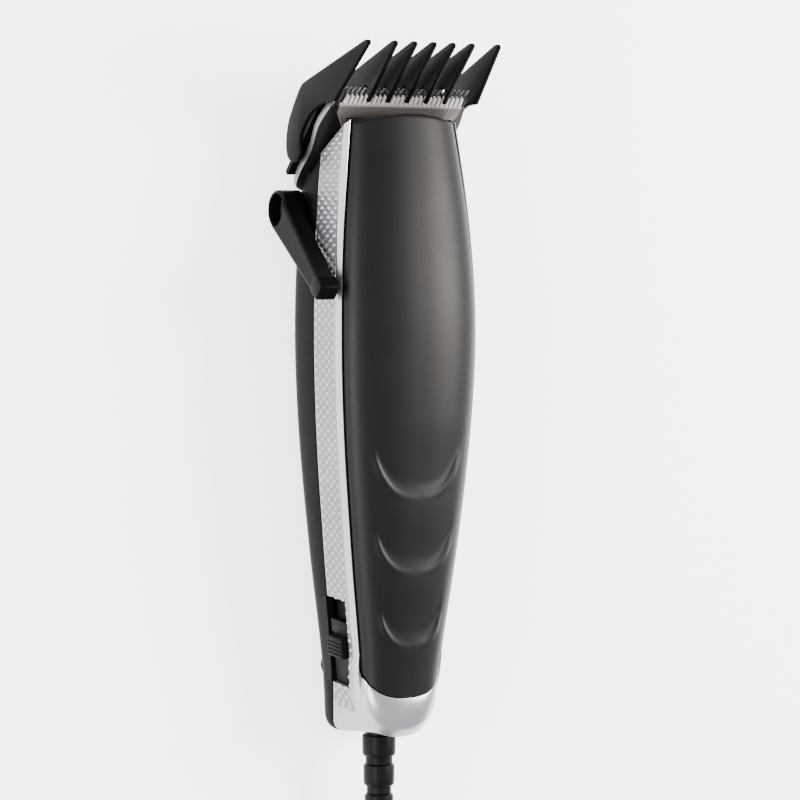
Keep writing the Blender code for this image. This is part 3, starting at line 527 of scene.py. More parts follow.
def coil_points():
    """The laid-down coil: it winds in and out in turn, one layer on top of another."""
    turns = COIL_LAYERS * LAYER_TURNS + LAST_TURN
    count = round(32 * turns)
    low = COIL_LIFT + CORD / 2
    points = []
    for i in range(1, count):
        turn = turns * i / count
        layer = int(turn // LAYER_TURNS)
        along = turn - layer * LAYER_TURNS
        inward = along if layer % 2 == 0 else LAYER_TURNS - along
        radius = OUTER_TURN - CORD * inward
        climbs = [k * LAYER_TURNS for k in range(1, COIL_LAYERS + 1)]
        lift = sum(ramp(turn, climb - 0.25, climb + 0.35) for climb in climbs)
        angle = math.pi + 2 * math.pi * turn
        x = COIL_CENTRE[0] + radius * math.cos(angle)
        points.append((x, COIL_CENTRE[1] + radius * math.sin(angle), low + CORD * lift))
    return points


def cord_points():
    """The whole lead: from the strain relief to the table, round the coil and into the plug on top."""
    x, y = COIL_CENTRE
    low = COIL_LIFT + CORD / 2
    left = x - OUTER_TURN
    lead = [(0, RELIEF_END_Y, RELIEF_Z), (0, -141, 15.0), (-3, -152, 10.6), (-10, -164, 5.6)]
    lead += [(-19, -176, low), (-28, -187, low), (left - 0.2, -199, low), (left - 0.2, y + 10, low)]
    lead.append((left, y, low))
    on_top = COIL_TOP + CORD / 2
    tail = [(x, y - OUTER_TURN + CORD * LAST_TURN, on_top), (x + 12, y - 28.6, on_top + 1.0)]
    tail += [(x + 21.2, y - 20.5, on_top + 3.0), (PLUG_X - 0.4, y - 10, PLUG_Z - 0.3)]
    tail.append((PLUG_X, PLUG_START_Y + 1, PLUG_Z))
    return along_curve(lead, 6.0) + coil_points() + along_curve(tail, 5.0)


def make_tube(name, points, diameter, material, body=None):
    """A round wire or cord along the points, as one smooth curve."""
    data = bpy.data.curves.new(name, "CURVE")
    data.dimensions = "3D"
    data.bevel_depth = diameter / 2 * MM
    data.bevel_resolution = 6
    data.use_fill_caps = True
    data.resolution_u = 3
    spline = data.splines.new("POLY")
    spline.points.add(len(points) - 1)
    for point, place in zip(spline.points, points):
        point.co = (*(c * MM for c in place), 1.0)
    spline.use_smooth = True
    data.materials.append(material)
    obj = bpy.data.objects.new(name, data)
    bpy.context.scene.collection.objects.link(obj)
    if body:
        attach(obj, body)
    return obj


def make_cord(pieces):
    points = cord_points()
    cord = make_tube("mains_cord", points, CORD, CORD_BLACK, "case")
    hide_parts("power_cord", "plug_cord", "cord_coil")


def make_strain_relief():
    """A flange inside the tail wall, then a tapering sleeve of rounded rings with the cord's socket."""
    profile = [(5.4, TAIL_Y + 4.6), (5.4, TAIL_Y + 3.0), (3.2, TAIL_Y + 2.7), (3.2, TAIL_Y - 0.4)]
    profile.append((4.1, TAIL_Y - 0.6))
    ring = [(0.0, 0.9), (0.02, 0.35), (0.05, 0.08), (0.1, 0.0), (0.6, 0.05)]
    ring += [(0.68, 0.12), (0.72, 0.4), (0.75, 1.0), (0.98, 1.0)]
    rings = 4
    pitch = (TAIL_Y - 1.0 - (RELIEF_END_Y + 1.2)) / rings
    for i in range(rings):
        start = TAIL_Y - 1.0 - pitch * i
        radius = 5.05 - 0.36 * i
        profile += [(radius - drop, start - pitch * part) for part, drop in ring]
    profile += [(3.3, RELIEF_END_Y + 0.7), (3.2, RELIEF_END_Y + 0.2), (2.9, RELIEF_END_Y)]
    profile += [(2.55, RELIEF_END_Y + 0.3), (2.55, RELIEF_END_Y + 1.0)]
    relief = turned("strain_relief_rings", profile, CORD_BLACK, (0, 0, RELIEF_Z), "Y", "case", segments=72)
    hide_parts("strain_relief")


def make_plug():
    """The moulded two-pin plug that lies on the coil, with finger ribs and sleeved pins."""
    sections = [(3.1, 0.0, 3.1), (3.3, 0.4, 3.3)]
    for i in range(4):
        rib_x, rib_z = 4.2 + 0.25 * i, 4.0 + 0.15 * i
        sections += [(rib_x - 0.8, 1.6 + 3 * i, 3.4 + 0.2 * i), (rib_x, 2.2 + 3 * i, rib_z)]
        sections += [(rib_x, 3.6 + 3 * i, rib_z), (rib_x - 0.6, 4.2 + 3 * i, 3.5 + 0.2 * i)]
    sections += [(6.0, 14.6, 4.3), (9.4, 17.0, 5.2), (13.0, 20.0, 6.2), (15.6, 24.0, 6.6), (17.0, 28.5, 6.8)]
    sections += [(17.6, 33.0, 6.8), (17.6, 37.0, 6.8), (17.2, 37.5, 6.4)]
    rings = []
    for half_x, at, half_z in sections:
        ring = []
        power = 2 / (2 + 3 * ramp(at, 12, 30))
        for i in range(64):
            angle = 2 * math.pi * i / 64
            c, s = math.cos(angle), math.sin(angle)
            ring.append((
                PLUG_X + half_x * math.copysign(abs(c) ** power, c),
                PLUG_START_Y + at,
                PLUG_Z + half_z * math.copysign(abs(s) ** power, s),
            ))
        rings.append(ring)
    plug = add_object("plug_moulding", *join_rings(rings), HOUSING_BLACK, "case")
    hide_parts("plug_body")
    pieces = [plug]
    for side, x in (("left", -8.8), ("right", 8.8)):
        face = (PLUG_X + x, PLUG_START_Y + 37.5, PLUG_Z)
        profile = [(1.9, -0.3), (1.9, 8.6), (2.0, 8.8), (2.0, 18.0), (1.75, 18.7), (1.2, 19.1)]
        pin = turned(f"plug_pin_{side}_round", profile, PLATED_STEEL, face, "Y", "case", 32)
        profile = [(2.0, -0.2), (2.0, 8.5), (1.95, 8.7)]
        sleeve = turned(f"plug_pin_{side}_sleeve", profile, HOUSING_BLACK, face, "Y", "case", 32)
        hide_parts(f"plug_pin_{side}")
        pieces += [pin, sleeve]
    return pieces


def make_cord_tie():
    """A strap with round corners, closed round the coil on the side away from the clipper."""
    x, y = COIL_CENTRE
    near = y - OUTER_TURN + CORD * LAYER_TURNS + CORD / 2 + 0.8
    far = y - OUTER_TURN - CORD / 2 - 0.4
    low, high = 0.4, COIL_TOP + CORD + 0.5
    bend = 2.4
    corners = ((near - bend, high - bend, 0, 3.2), (far + bend, high - bend, 90, 3.2))
    corners += ((far + bend, low + bend, 180, 2.8), (near - bend, low + bend, 270, 2.8))
    rings = []
    for centre_y, centre_z, start, reach in corners:
        for i in range(7):
            angle = math.radians(start + 15 * i)
            c, s = math.cos(angle), math.sin(angle)
            outer = (centre_y + (bend + 0.8) * c, centre_z + reach * s)
            inner = (centre_y + bend * c, centre_z + bend * s)
            middle = [(p + q) / 2 for p, q in zip(outer, inner)]
            ring = [(x - 3.6, *outer), (x - 4.0, *middle), (x - 3.6, *inner)]
            rings.append(ring + [(x + 3.6, *inner), (x + 4.0, *middle), (x + 3.6, *outer)])
    tie = add_object("cord_tie_strap", *join_rings(rings, closed_stack=True), HOUSING_BLACK, "case")
    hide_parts("cord_tie")
    return [tie]


# ---- Case --------------------------------------------------------------------------------------


def grip_relief(x, y):
    """Height that the three U-shaped finger grips add: a rounded lip round a shallow scoop."""
    height = 0.0
    for low_y, half, rise in GRIPS:
        across = abs(x) / half
        if across > 1.25 or not low_y - 5 < y < low_y + rise + 16:
            continue
        slope = 3 * rise / half * across**2
        inside = (y - low_y - rise * across**3) / math.sqrt(1 + slope**2)
        if inside < -4:
            continue
        ends = 1 - ramp(across, 0.93, 1.15)
        middle = 1 - min(across, 1) ** 1.5
        lip = 0.4 * math.exp(-(((inside + 0.75) / 0.75) ** 2)) * (1 - 0.9 * middle)
        fade = 1 - ramp(y - low_y, 1.0, rise + 12)
        scoop = 0.62 * ramp(inside, -0.3 - 2.5 * middle, 1.0 + 3.5 * middle) * fade
        height += ends * (lip - scoop)
    return height


def make_top_cover():
    """The crowned cover as one closed skin with rounded rims and three finger grips."""
    angles = [math.radians(1.5 * i) for i in range(-60, 61)]
    bend_y = CORNER_START_Y
    rim_back_y = COVER_FRONT_Y - COVER_RIM
    rows = []
    for degrees in (90, 60, 30):
        c, s = math.cos(math.radians(degrees)), math.sin(math.radians(degrees))
        rows.append((rim_back_y + COVER_RIM * s, half_width(COVER_FRONT_Y), COVER_RIM * (1 - c)))
    rows += [(y, half_width(y), 0.0) for y in steps(rim_back_y, bend_y, 250)]
    for i in range(1, 31):
        width, y = quarter(half_width(bend_y), bend_y, COVER_END_ROUND, math.radians(2.8 * i))
        rows.append((y, width, 0.0))
    outer, inner = [], []
    for y, width, drop in rows:
        for angle in angles:
            across = math.sin(angle)
            x = width * across
            fall = FRONT_ARC * max(y - 30, 0) / (COVER_FRONT_Y - 30) * across**2
            outer.append((x, y - fall, crown_z(x, y) - drop + grip_relief(x, y)))
            inset = 1 - COVER_WALL / max(width, 2 * COVER_WALL)
            tuck = y + COVER_WALL if y < bend_y else min(y, COVER_FRONT_Y - 0.3)
            inner.append((x * inset, tuck - fall, crown_z(x * inset, tuck) - COVER_WALL))
    count, total = len(angles), len(outer)
    faces = []
    for r in range(len(rows) - 1):
        for c in range(count - 1):
            a, b = r * count + c, (r + 1) * count + c
            faces.append((a, a + 1, b + 1, b))
            faces.append((total + a, total + b, total + b + 1, total + a + 1))
    last = (len(rows) - 1) * count
    rim = [r * count for r in range(len(rows))]
    rim += [last + c for c in range(1, count)]
    rim += [r * count + count - 1 for r in range(len(rows) - 2, -1, -1)]
    rim += list(range(count - 2, 0, -1))
    for a, b in zip(rim, rim[1:] + rim[:1]):
        faces.append((a, b, total + b, total + a))
    cover = add_object("cover_shell", outer + inner, faces, SOFT_BLACK, "case", sharp=50)
    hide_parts("top_cover")


def knurl(y, z, top, foot):
    """Outward height of the staggered bumps on the frame's sides, fading towards its borders."""
    wave = math.cos(2 * math.pi * y / KNURL_PITCH_Y) * math.cos(2 * math.pi * (z - top) / KNURL_PITCH_Z)
    border = ramp(top - z, 0.5, 1.1) * ramp(z - foot, 0.3, 0.9)
    front = FRAME_FRONT_TOP_Y - (top - z) * 0.62
    return KNURL_HEIGHT * (((wave + 1) / 2) ** 4.0 - 0.2) * border * ramp(front - y, 1.4, 2.4)


def frame_side_section(top_y, foot_y):
    """A cross-section of the frame's right side from top_y to foot_y, and the bumps' lift at each point."""
    width = half_width(top_y)
    top, foot = parting_z(top_y), band_foot_z(foot_y) + GAP
    outer = width + BEVEL
    side_top, side_foot = top - BEVEL - 0.25, foot + 0.35
    profile = [(width + GAP, top - 0.25), (width + GAP + 0.15, top - 0.06), (width + GAP + 0.4, top - 0.02)]
    profile += [(outer - 0.35, side_top + 0.75), (outer - 0.12, side_top + 0.41), (outer, side_top)]
    profile += [(outer, z) for z in steps(side_top, side_foot, len(KNURLED) - 1)[1:]]
    profile += [(outer - 0.1, foot + 0.1), (outer - 0.35, foot), (outer - 2.0, foot)]
    profile += [(outer - 2.0, top - 2.4), (width + GAP, top - 1.2)]
    section, lifts = [], []
    for i, (x, z) in enumerate(profile):
        y = foot_y + (top_y - foot_y) * (z - foot) / (top - foot)
        lifts.append(knurl(y, z, side_top, side_foot) if i in KNURLED else 0.0)
        section.append((half_width(y) + x - width + lifts[-1], y, z))
    return section, lifts


def frame_tail_section(angle, fade):
    """A section of the right tail corner, and its lifts; fade goes from the side's shape to the tail's."""
    start = CORNER_START_Y
    half = half_width(start)
    edge = quarter(half + GAP, start, COVER_END_ROUND + GAP, angle)
    crease = quarter(half + GAP + 0.4, start, start - CREASE_Y, angle)
    outline = quarter(half + BEVEL, start, start - TAIL_Y, angle)
    turn = angle / math.radians(90)
    corner = foot_corner(turn)
    inner = quarter(half + BEVEL - 2, start, start - TAIL_Y - 2, angle)
    near_top = quarter(half + BEVEL - 0.35, start, start - TAIL_Y - 0.6, angle)
    foot = band_foot_z(corner[1]) + GAP

    def mixed(side_value, end_value):
        return side_value + (end_value - side_value) * fade

    top = mixed(parting_z(outline[1]), crown_z(*crease))
    edge_z = mixed(parting_z(outline[1]), crown_z(*edge))
    side_top, side_foot = top - mixed(BEVEL, 3.5) - 0.25, foot + 0.35
    section = [(*edge, edge_z - 0.25), (*(Vector(edge).lerp(Vector(crease), 0.2)), edge_z - 0.02)]
    section += [(*crease, top - 0.02), (*(Vector(crease).lerp(Vector(near_top), 0.6)), top - mixed(0.7, 1.7))]
    section += [(*near_top, top - mixed(BEVEL - 0.2, 3.1)), (*outline, side_top)]
    for z in steps(side_top, side_foot, len(KNURLED) - 1)[1:]:
        down = (side_top - z) / (side_top - side_foot)
        section.append((*Vector(outline).lerp(Vector(corner), down), z))
    section += [(*(Vector(corner).lerp(Vector(inner), 0.05)), foot + 0.1)]
    section += [(*(Vector(corner).lerp(Vector(inner), 0.17)), foot), (*inner, foot)]
    section += [(*inner, top - mixed(2.4, 5.0)), (*edge, edge_z - mixed(1.2, 1.8))]
    outward = Vector((math.cos(angle), -math.sin(angle)))
    shaped, lifts = [], []
    for i, (x, y, z) in enumerate(section):
        lift = knurl(y, z, side_top, side_foot) * (1 - ramp(turn, 0.4, 0.48)) if i in KNURLED else 0.0
        shaped.append((x + outward.x * lift, y + outward.y * lift, z))
        lifts.append(lift)
    return shaped, lifts


def make_silver_frame():
    """The bright band round both sides and the tail, with its raised bumps and bevelled rim; faces low
    between the bumps get a darker silver as painted shade.
    """
    sections = []
    for i in range(SIDE_SECTIONS):
        t = i / SIDE_SECTIONS
        top_y = FRAME_FRONT_TOP_Y + (CORNER_START_Y - FRAME_FRONT_TOP_Y) * t
        foot_y = FRAME_FRONT_FOOT_Y + (CORNER_START_Y - FRAME_FRONT_FOOT_Y) * t
        sections.append(frame_side_section(top_y, foot_y))
    for i in range(91):
        sections.append(frame_tail_section(math.radians(i), ramp(i, 0, 34)))
    right = [section for section, _ in sections]
    left = [[(-x, y, z) for x, y, z in section] for section in right[-2::-1]]
    frame_obj = add_object("side_band", *join_rings(right + left), SILVER, "case", sharp=32)
    # Faces low between the bumps take the darker silver as painted shade.
    frame_obj.data.materials.append(SILVER_PAINTED_SHADE)
    lifts = [lift for _, lifts in sections + sections[-2::-1] for lift in lifts]
    for face, lift in zip(frame_obj.data.polygons, lifts):
        face.material_index = int(lift < PAINTED_SHADE_LIFT)
    hole = turned("relief_hole", [(3.6, -7), (3.6, 7)], SILVER, (0, TAIL_Y, RELIEF_Z), "Y")
    slot = block("relief_slot", (-3.6, TAIL_Y - 6, 5), (3.6, TAIL_Y + 6, RELIEF_Z), SILVER)
    cut(frame_obj, hole, slot)
    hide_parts("silver_frame")
    return frame_obj


def housing_outline(inset, front_y, z):
    """One level of the housing, from its left front corner round the tail to its right front corner."""
    left = [(half_width(y) + BEVEL - inset, y, z(y)) for y in steps(front_y, CORNER_START_Y, 90)]
    for i in range(1, 61):
        x, y = foot_corner(i / 60, inset)
        left.append((x, y, z(y)))
    right = [(-x, y, z) for x, y, z in left[-2::-1]]
    return left + right


def bed_y(z):
    """Where the blade's slanted seat is at a height."""
    return z + BLADE_TIP[1] - BLADE_TIP[2] - GAP * math.sqrt(2)


def make_bottom_housing():
    """The tub: a flat back with round edges, a step at the rim, screw posts and wells, and vents."""
    levels = []
    for step in range(13):
        angle = math.radians(7.5 * step)
        levels.append((BACK_FILLET * (1 - math.sin(angle)), BACK_FILLET * (1 - math.cos(angle))))
    rings = [housing_outline(inset, bed_y(height), lambda y, z=height: z) for inset, height in levels]
    rim_y = bed_y(BAND)
    rings.append(housing_outline(0, rim_y, lambda y: band_foot_z(y) - 0.35))
    rings.append(housing_outline(0.12, rim_y, lambda y: band_foot_z(y) - 0.1))
    rings.append(housing_outline(0.4, rim_y, band_foot_z))
    rings.append(housing_outline(WALL, rim_y - 4.5, band_foot_z))
    for inset, height in reversed(levels):
        lift = WALL + height * (1 - WALL / BACK_FILLET)
        shift = WALL + inset * (1 - WALL / BACK_FILLET)
        rings.append(housing_outline(shift, bed_y(lift) - 4.5, lambda y, z=lift: z))
    housing = add_object("housing_tub", *join_rings(rings), HOUSING_BLACK, "case")
    for i, (x, y) in enumerate(BOSSES):
        fuse(housing, turned(f"post_{i}", [(4.2, 1), (4.2, band_foot_z(y) - 1)], HOUSING_BLACK, (x, y, 0)))
    for i, (x, y) in enumerate(CORE_SCREWS):
        fuse(housing, turned(f"core_post_{i}", [(3.2, 1), (3.2, 8.7)], HOUSING_BLACK, (x, y, 0)))
    fuse(housing, turned("lever_boss", [(5.4, -21.6), (5.4, -15.5)], HOUSING_BLACK, HUB_AXIS, "X"))
    cutters = []
    for i, (x, y) in enumerate(BOSSES):
        profile = [(3.9, -1), (3.9, 0.0), (3.3, 0.6), (3.3, 3.0), (1.8, 3.01), (1.8, 25)]
        cutters.append(turned(f"head_hole_{i}", profile, HOUSING_BLACK, (x, y, 0), segments=40))
    profile = [(1.5, 3.5), (1.5, 12)]
    for i, (x, y) in enumerate(CORE_SCREWS):
        cutters.append(turned(f"core_hole_{i}", profile, HOUSING_BLACK, (x, y, 0), segments=24))
    cutters.append(turned("lever_hole", [(2.2, -24), (2.2, -10)], HOUSING_BLACK, HUB_AXIS, "X"))
    side = half_width(POWER_SCREW[1]) + BEVEL
    profile = [(1.9, side - 6), (1.9, side - 1.2), (3.9, side - 1.19), (3.9, side - 0.4)]
    profile += [(4.6, side + 0.4), (4.6, side + 3)]
    cutters.append(turned("power_hole", profile, HOUSING_BLACK, (0, *POWER_SCREW[1:]), "X"))
    profile = [(1.9, -1), (1.9, 9)]
    for i, x in enumerate(BLADE_SCREW_X):
        hole = turned(f"seat_hole_{i}", profile, HOUSING_BLACK, (x, BLADE_SCREW_U, 0), segments=32)
        reshape(hole, BLADE_MATRIX)
        cutters.append(hole)
    recess = block("seat_recess", (-30, -32, -5), (30, 10, 2.3), HOUSING_BLACK)
    reshape(recess, BLADE_MATRIX)
    cutters += [recess, block("relief_well", (-3.6, TAIL_Y - 3, 9.5), (3.6, TAIL_Y + 3, 30), HOUSING_BLACK)]
    cut(housing, *cutters)
    vents = []
    for i in range(7):
        vent_y = -62 + 4.2 * i
        vents.append(block(f"vent_{i}", (-9, vent_y, -1), (9, vent_y + 1.8, 0.8), HOUSING_BLACK))
    cut(housing, *vents)
    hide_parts("bottom_housing")
    return housing


def make_housing_screws():
    """Cross-head screws sunk in the back."""
    for i, (x, y) in enumerate(BOSSES):
        profile = [(1.2, 0.75), (2.3, 0.6), (2.8, 0.9), (2.9, 1.3), (2.9, 2.4), (1.3, 2.7), (1.3, 24.0)]
        profile.append((0.6, 25.0))
        name = f"housing_screw_{i + 1}"
        screw = turned(f"{name}_cross", profile, PLATED_STEEL, (x, y, 0), "Z", "case", 40)
        cut(screw, cross_slot(name, (x, y, 0.4), 1.7, 0.5, 1.2))
        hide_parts(name)


def cross_slot(name, centre, reach, width, depth):
    """A cutter for a screw's cross recess, open towards -Z."""
    x, y, z = centre
    half, low, high = width / 2, z - 1, z + depth
    arm = block(f"{name}_slot", (x - reach, y - half, low), (x + reach, y + half, high), PLATED_STEEL)
    fuse(arm, block(f"{name}_slot_b", (x - half, y - reach, low), (x + half, y + reach, high), PLATED_STEEL))
    return arm


# ---- Blade set, worked out in the blade's frame: X across, Y to the teeth, Z to the cover ------


def toothed_outline(flank, tip, teeth, depth):
    """A blade's outline: its flanks from heel to shoulder, and a row of tapered teeth with round ends."""
    half = flank[-1][1]
    pitch = 2 * half / (teeth + 0.5)
    outline = [(-width, along) for along, width in reversed(flank)]
    outline += [(width, along) for along, width in flank]
    for i in range(teeth):
        middle = half - pitch * (i + 0.75)
        outline += [(middle + 0.3 * pitch, tip - depth), (middle + 0.34 * pitch, tip - depth + 0.15)]
        outline += [(middle + 0.19 * pitch, tip - 0.25), (middle + 0.1 * pitch, tip)]
        outline += [(middle - 0.1 * pitch, tip), (middle - 0.19 * pitch, tip - 0.25)]
        outline += [(middle - 0.34 * pitch, tip - depth + 0.15), (middle - 0.3 * pitch, tip - depth)]
    return outline


def smooth_flank(flank):
    return [(at, smooth(flank, at)) for at in steps(flank[0][0], flank[-1][0], 26)]


def make_fixed_blade():
    """The ground steel plate with a bevelled tooth row, a hollow across its face and two screw holes."""
    outline = toothed_outline(smooth_flank(BLADE_FLANK), 0, TOOTH_COUNT, 6.5)
    blade = prism("fixed_blade_ground", outline, -BLADE_THICK, 0, GROUND_STEEL, "Z", "case")
    relief = prism("blade_relief", [(-9.5, -3.5), (2, -3.5), (2, -0.5), (-0.5, -0.7)], -30, 30, GROUND_STEEL)
    cut(blade, relief)
    for i, x in enumerate(BLADE_SCREW_X):
        profile = [(3.6, -4), (3.6, -0.9), (1.9, -0.3), (1.9, 2)]
        cut(blade, turned(f"blade_hole_{i}", profile, GROUND_STEEL, (x, BLADE_SCREW_U, 0), segments=48))
    # The blade's top face gets the dark steel as painted shade over its ground steel.
    blade.data.materials.append(BLUED_STEEL_AND_SHADE)
    for face in blade.data.polygons:
        if face.normal.z > 0.9:
            face.material_index = 1
    reshape(blade, BLADE_MATRIX)
    round_edges(blade, 0.14, 2, 50)
    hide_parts("fixed_blade")


def make_moving_blade():
    """The cutter: a toothed plate that slides on the fixed blade."""
    outline = toothed_outline(CUTTER_FLANK, -CUTTER_SETBACK, CUTTER_TOOTH_COUNT, 3.2)
    cutter = prism("cutter_plate", outline, GAP, GAP + CUTTER_THICK, CUTTER_STEEL, "Z", "cutter")
    reshape(cutter, BLADE_MATRIX)
    round_edges(cutter, 0.12, 2, 50)
    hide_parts("moving_blade")


def rounded_outline(stops, spacing=1.2):
    return [tuple(point[:2]) for point in along_curve([(*stop, 0) for stop in stops], spacing)]


def comb_skin():
    """A fin's outer edge: the rounded tip, the straight run on the skin, and the round back end."""
    tip = [(19.4, 3.0), (19.8, 3.05), (20.15, 2.85), (20.35, 2.4), (20.3, 1.9), (19.9, 1.35), (19.2, 0.8)]
    back = [(-8.0, -12.7), (-10.6, -13.9), (-13.5, -14.3), (-24.5, -12.6), (-30.6, -9.0), (-32.6, -6.0)]
    return tip + rounded_outline(back)


def make_guide_comb():
    """Fins on a base plate: the inner ones hook over the teeth, and the outer ones hold the blade's sides."""
    under = -BLADE_THICK - GAP
    plate_outline = [(-37.5, under - 0.7), (-37.2, under - 0.3), (-8.8, under - 0.3), (-8.5, under - 0.7)]
    plate_outline += [(-9.4, under - 1.8), (-37.0, under - 1.8)]
    comb = prism("comb_fins", plate_outline, -COMB_SIDE_X, COMB_SIDE_X, COMB_BLACK, "X", "comb")
    floor = [(-33.2, under - 0.8), (-9.5, under - 0.5), (-5.4, under - 0.2), (0.5, -1.0)]
    hook_z = 2 * GAP + CUTTER_THICK
    outline = comb_skin() + floor + [(0.5, hook_z), (-2.9, hook_z), (-2.9, hook_z + 1.0)]
    pieces = []
    for k, x in enumerate(sorted({side * x for side in (-1, 1) for x in COMB_FIN_X})):
        fin = prism(f"comb_fin_{k}", outline, x - COMB_FIN / 2, x + COMB_FIN / 2, COMB_BLACK)
        round_edges(fin, 0.32, 3, 50)
        pieces.append(fin)
    lug = rounded_outline([(-32.6, -4.2), (-31.2, -1.8), (-28.6, -0.4), (-26.2, -0.6), (-24.6, -2.4)], 0.6)
    slope = (COMB_SIDE_X - COMB_SIDE_TIP_X) / (COMB_TIP_U - COMB_LEAN_U)
    arch = rounded_outline([(-22.6, -4.2), (-18.5, -4.6), (-13.0, -3.9), (-7.0, -1.2), (-2.6, 2.6)], 1.0)
    for side in (-1, 1):
        rings = []
        for offset in (-COMB_FIN / 2, COMB_FIN / 2):
            ring = []
            for u, h in comb_skin() + lug + arch:
                lean = max(u - COMB_LEAN_U, 0.0) * slope
                ring.append((side * (COMB_SIDE_X + offset - lean), u, h))
            rings.append(ring)
        cheek = add_object(f"comb_side_{side}", *join_rings(rings), COMB_BLACK)
        round_edges(cheek, 0.32, 3, 50)
        pieces.append(cheek)
    fuse(comb, *pieces)
    reshape(comb, BLADE_MATRIX)
    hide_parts("guide_comb")


def make_nose_insert():
    """The black nose behind the cutter: two cheeks that fill the case's front and a bar between them."""
    cheek = [(82.3, 23.9), (82.8, 23.9), (87.0, 28.1), (86.6, 28.6), (84.6, 28.6)]
    post = [(76.6, 17.0), (77.7, 17.2), (80.0, 21.2), (83.2, 24.6), (83.2, 28.0), (80.0, 28.0)]
    bar_outline = [(76.6, 17.0), (77.7, 17.0), (79.0, 18.6), (78.2, 18.8), (76.6, 17.6)]
    bar = prism("nose_wedge", bar_outline, -15.6, 15.6, HOUSING_BLACK, "X", "case")
    for side in (-1, 1):
        low, high = sorted((side * 14.0, side * 17.6))
        fuse(bar, prism(f"cheek_{side}", cheek, low, high, HOUSING_BLACK))
        low, high = sorted((side * 14.0, side * 15.6))
        fuse(bar, prism(f"cheek_post_{side}", post, low, high, HOUSING_BLACK))
    round_edges(bar, 0.25, 2)
    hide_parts("nose_insert")


# ---- Taper lever -------------------------------------------------------------------------------


def make_taper_lever():
    """A hub with a round recess, a tapering arm that leans back over the side, and a ribbed thumb tab."""
    profile = [(5.2, -30.2), (5.6, -30.05), (5.85, -29.7), (5.9, -29.2), (5.9, -23.2), (5.7, -22.8)]
    profile.append((5.3, -22.6))
    hub = turned("lever_hub", profile, COMB_BLACK, HUB_AXIS, "X", "lever", 72)
    reach = Vector((math.cos(LEVER_ANGLE), math.sin(LEVER_ANGLE)))
    across = Vector((-reach.y, reach.x))
    hub_place = Vector(HUB[1:])
    start, end = hub_place + reach, hub_place + reach * LEVER_REACH
    arm_outline = [start + across * 5.2, end + across * 2.6, end - across * 2.6, start - across * 5.2]
    arm = prism("lever_arm", [tuple(p) for p in arm_outline], -31.0, -25.2, COMB_BLACK)
    flank = ((-5.5, 2.2), (-4.7, 3.0), (-1.4, 3.0), (-0.5, 2.7), (0.0, 1.9))
    tab_outline = [end + reach * along + across * wide for along, wide in flank]
    tab_outline += [end + reach * along - across * wide for along, wide in reversed(flank)]
    tab = prism("lever_tab", [tuple(p) for p in tab_outline], -31.2, -24.9, COMB_BLACK)
    round_edges(arm, 0.9, 4, 40)
    round_edges(tab, 0.7, 4, 40)
    fuse(hub, arm, tab)
    profile = [(0.2, -29.6), (0.45, -29.3), (0.45, -26.6), (0.2, -26.3)]
    for i in range(3):
        place = end + reach * (-4.2 + 1.4 * i) + across * 2.95
        fuse(hub, turned(f"lever_rib_{i}", profile, COMB_BLACK, (0, *place), "X", segments=20))
    profile = [(4.9, -33), (4.9, -30.1), (4.7, -29.8), (4.7, -25.9), (4.3, -25.5)]
    recess = turned("lever_recess", profile, COMB_BLACK, HUB_AXIS, "X")
    cut(hub, recess, turned("lever_bore", [(2.2, -30), (2.2, -15)], COMB_BLACK, HUB_AXIS, "X"))
    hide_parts("taper_lever")


def make_lever_pivot():
    """The slotted screw in the lever's hub."""
    profile = [(2.6, -27.35), (3.3, -27.2), (3.6, -26.9), (3.6, -25.8), (1.9, -25.8), (1.9, -15.1)]
    profile += [(1.2, -14.8), (1.2, -12.2)]
    screw = turned("lever_screw", profile, BLUED_STEEL_AND_SHADE, HUB_AXIS, "X", "lever", 48)
    _, y, z = HUB
    cut(screw, block("lever_screw_slot", (-28.2, y - 4, z - 0.45), (-26.7, y + 4, z + 0.45), BLUED_STEEL_AND_SHADE))
    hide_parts("lever_pivot_screw")


def make_power_screw():
    """The slotted power adjusting screw in the right side."""
    side = half_width(POWER_SCREW[1]) + BEVEL
    profile = [(1.5, 13.0), (1.5, side - 0.9), (3.3, side - 0.9), (3.5, side - 0.7), (3.5, side + 0.1)]
    profile += [(3.2, side + 0.35), (2.6, side + 0.45)]
    screw = turned("power_screw_head", profile, BRASS, (0, *POWER_SCREW[1:]), "X", "adjuster", 56)
    cut(screw, block("power_slot", (side - 0.3, 15, 12.9), (side + 2, 25, 13.9), BRASS))
    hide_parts("power_screw")


# ---- Switch, in a frame on the left side's outer face ------------------------------------------


def switch_matrix():
    """The frame on the side wall: its Y axis runs along the side and its X axis points inwards."""
    back, front = SWITCH_Y - SWITCH_HALF, SWITCH_Y + SWITCH_HALF
    rise = band_foot_z(front) - band_foot_z(back)
    along = Vector((half_width(back) - half_width(front), front - back, rise)).normalized()
    inward = along.cross(Vector((0, 0, 1))).normalized()
    matrix = Matrix((inward, along, inward.cross(along))).transposed().to_4x4()
    matrix.translation = Vector((-half_width(SWITCH_Y) - BEVEL, SWITCH_Y, band_foot_z(SWITCH_Y))) * MM
    return matrix


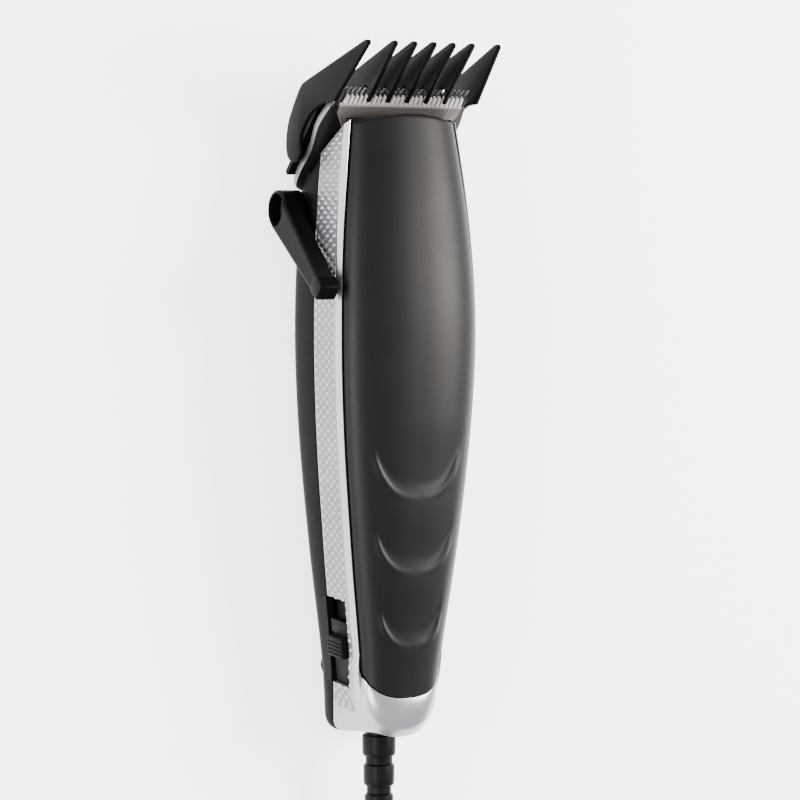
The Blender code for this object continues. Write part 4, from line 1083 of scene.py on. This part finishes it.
def make_switch(housing, band):
    """Cuts the switch's window, and fills it with a back plate and a slider that has a ribbed thumb block."""
    matrix = switch_matrix()
    half, top, black = SWITCH_HALF, SWITCH_HEIGHT - 0.5, HOUSING_BLACK
    window = block("switch_window", (-5, -half, -2), (3.5, half, SWITCH_HEIGHT), SILVER)
    slot = block("bezel_slot", (-1, -half, -0.6), (14, half, 6), black)
    back_plate = block("switch_back", (2.6, -half - 1.2, 1.0), (3.6, half + 1.2, 12.6), black, "case")
    slider = block("switch_slide", (0.8, -12.7, 0.9), (2.2, 6.3, top), black, "switch_button")
    thumb = block("switch_thumb", (-1.9, -4.4, 1.2), (1.2, 1.6, top - 0.4), black)
    bar = block("switch_bar", (0.2, 2.4, 0.9), (1.2, 6.3, top), black)
    round_edges(thumb, 0.35, 3)
    round_edges(bar, 0.2, 2)
    round_edges(slider, 0.2, 2)
    fuse(slider, thumb, bar)
    grooves = []
    for i in range(4):
        groove_y = -3.5 + 1.15 * i
        grooves.append(block(f"thumb_groove_{i}", (-3, groove_y, 0), (-1.5, groove_y + 0.4, 12), black))
    cut(slider, *grooves)
    round_edges(back_plate, 0.15, 2)
    for obj in (window, slot, back_plate, slider):
        reshape(obj, matrix)
    cut(band, window)
    cut(housing, slot)
    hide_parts("switch_slider")
    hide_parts("switch_bezel")


# ---- Pieces that keep the CAD part's shape -----------------------------------------------------

KEPT_NODES = (
    (HOUSING_BLACK, ("cutter_yoke", "taper_carriage")),
    (SPRING_STEEL, ("tension_spring", "armature_spring_left", "armature_spring_right")),
    (PLATED_STEEL, ("blade_screw_left", "blade_screw_right", "core_screw_1", "core_screw_2")),
    (PLATED_STEEL, ("clamp_screw", "cord_clamp_screw")),
    (IRON, ("motor_core", "armature")),
    (COPPER, ("coil_winding",)),
    (IVORY, ("lever_cam", "coil_bobbin", "spring_clamp", "switch_body", "cord_clamp")),
    (BRASS, ("switch_contact",)),
    (BROWN_WIRE, ("lead_wire_coil",)),
    (BLUE_WIRE, ("lead_wire_switch",)),
)


def dress_kept_nodes():
    for material, names in KEPT_NODES:
        for name in names:
            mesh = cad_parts[name].data
            mesh.materials.clear()
            mesh.materials.append(material)


# ---- The scene ---------------------------------------------------------------------------------


def make_studio():
    make_world()
    make_floor()
    make_light("Left", (-1000, -80, 560), (0, 0, 0), (400, 900), 22.0, (0.9, 0.95, 1.0))
    make_light("Right", (760, 170, 700), (0, 20, 0), (420, 420), 30.0, (1.0, 0.95, 0.9))
    make_camera()


def make_clipper():
    make_top_cover()
    band = make_silver_frame()
    housing = make_bottom_housing()
    make_switch(housing, band)
    make_housing_screws()
    make_nose_insert()
    make_fixed_blade()
    make_moving_blade()
    make_guide_comb()
    make_taper_lever()
    make_lever_pivot()
    make_power_screw()
    dress_kept_nodes()


def make_lead():
    make_strain_relief()
    make_cord(make_plug() + make_cord_tie())


make_studio()
make_clipper()
make_lead()
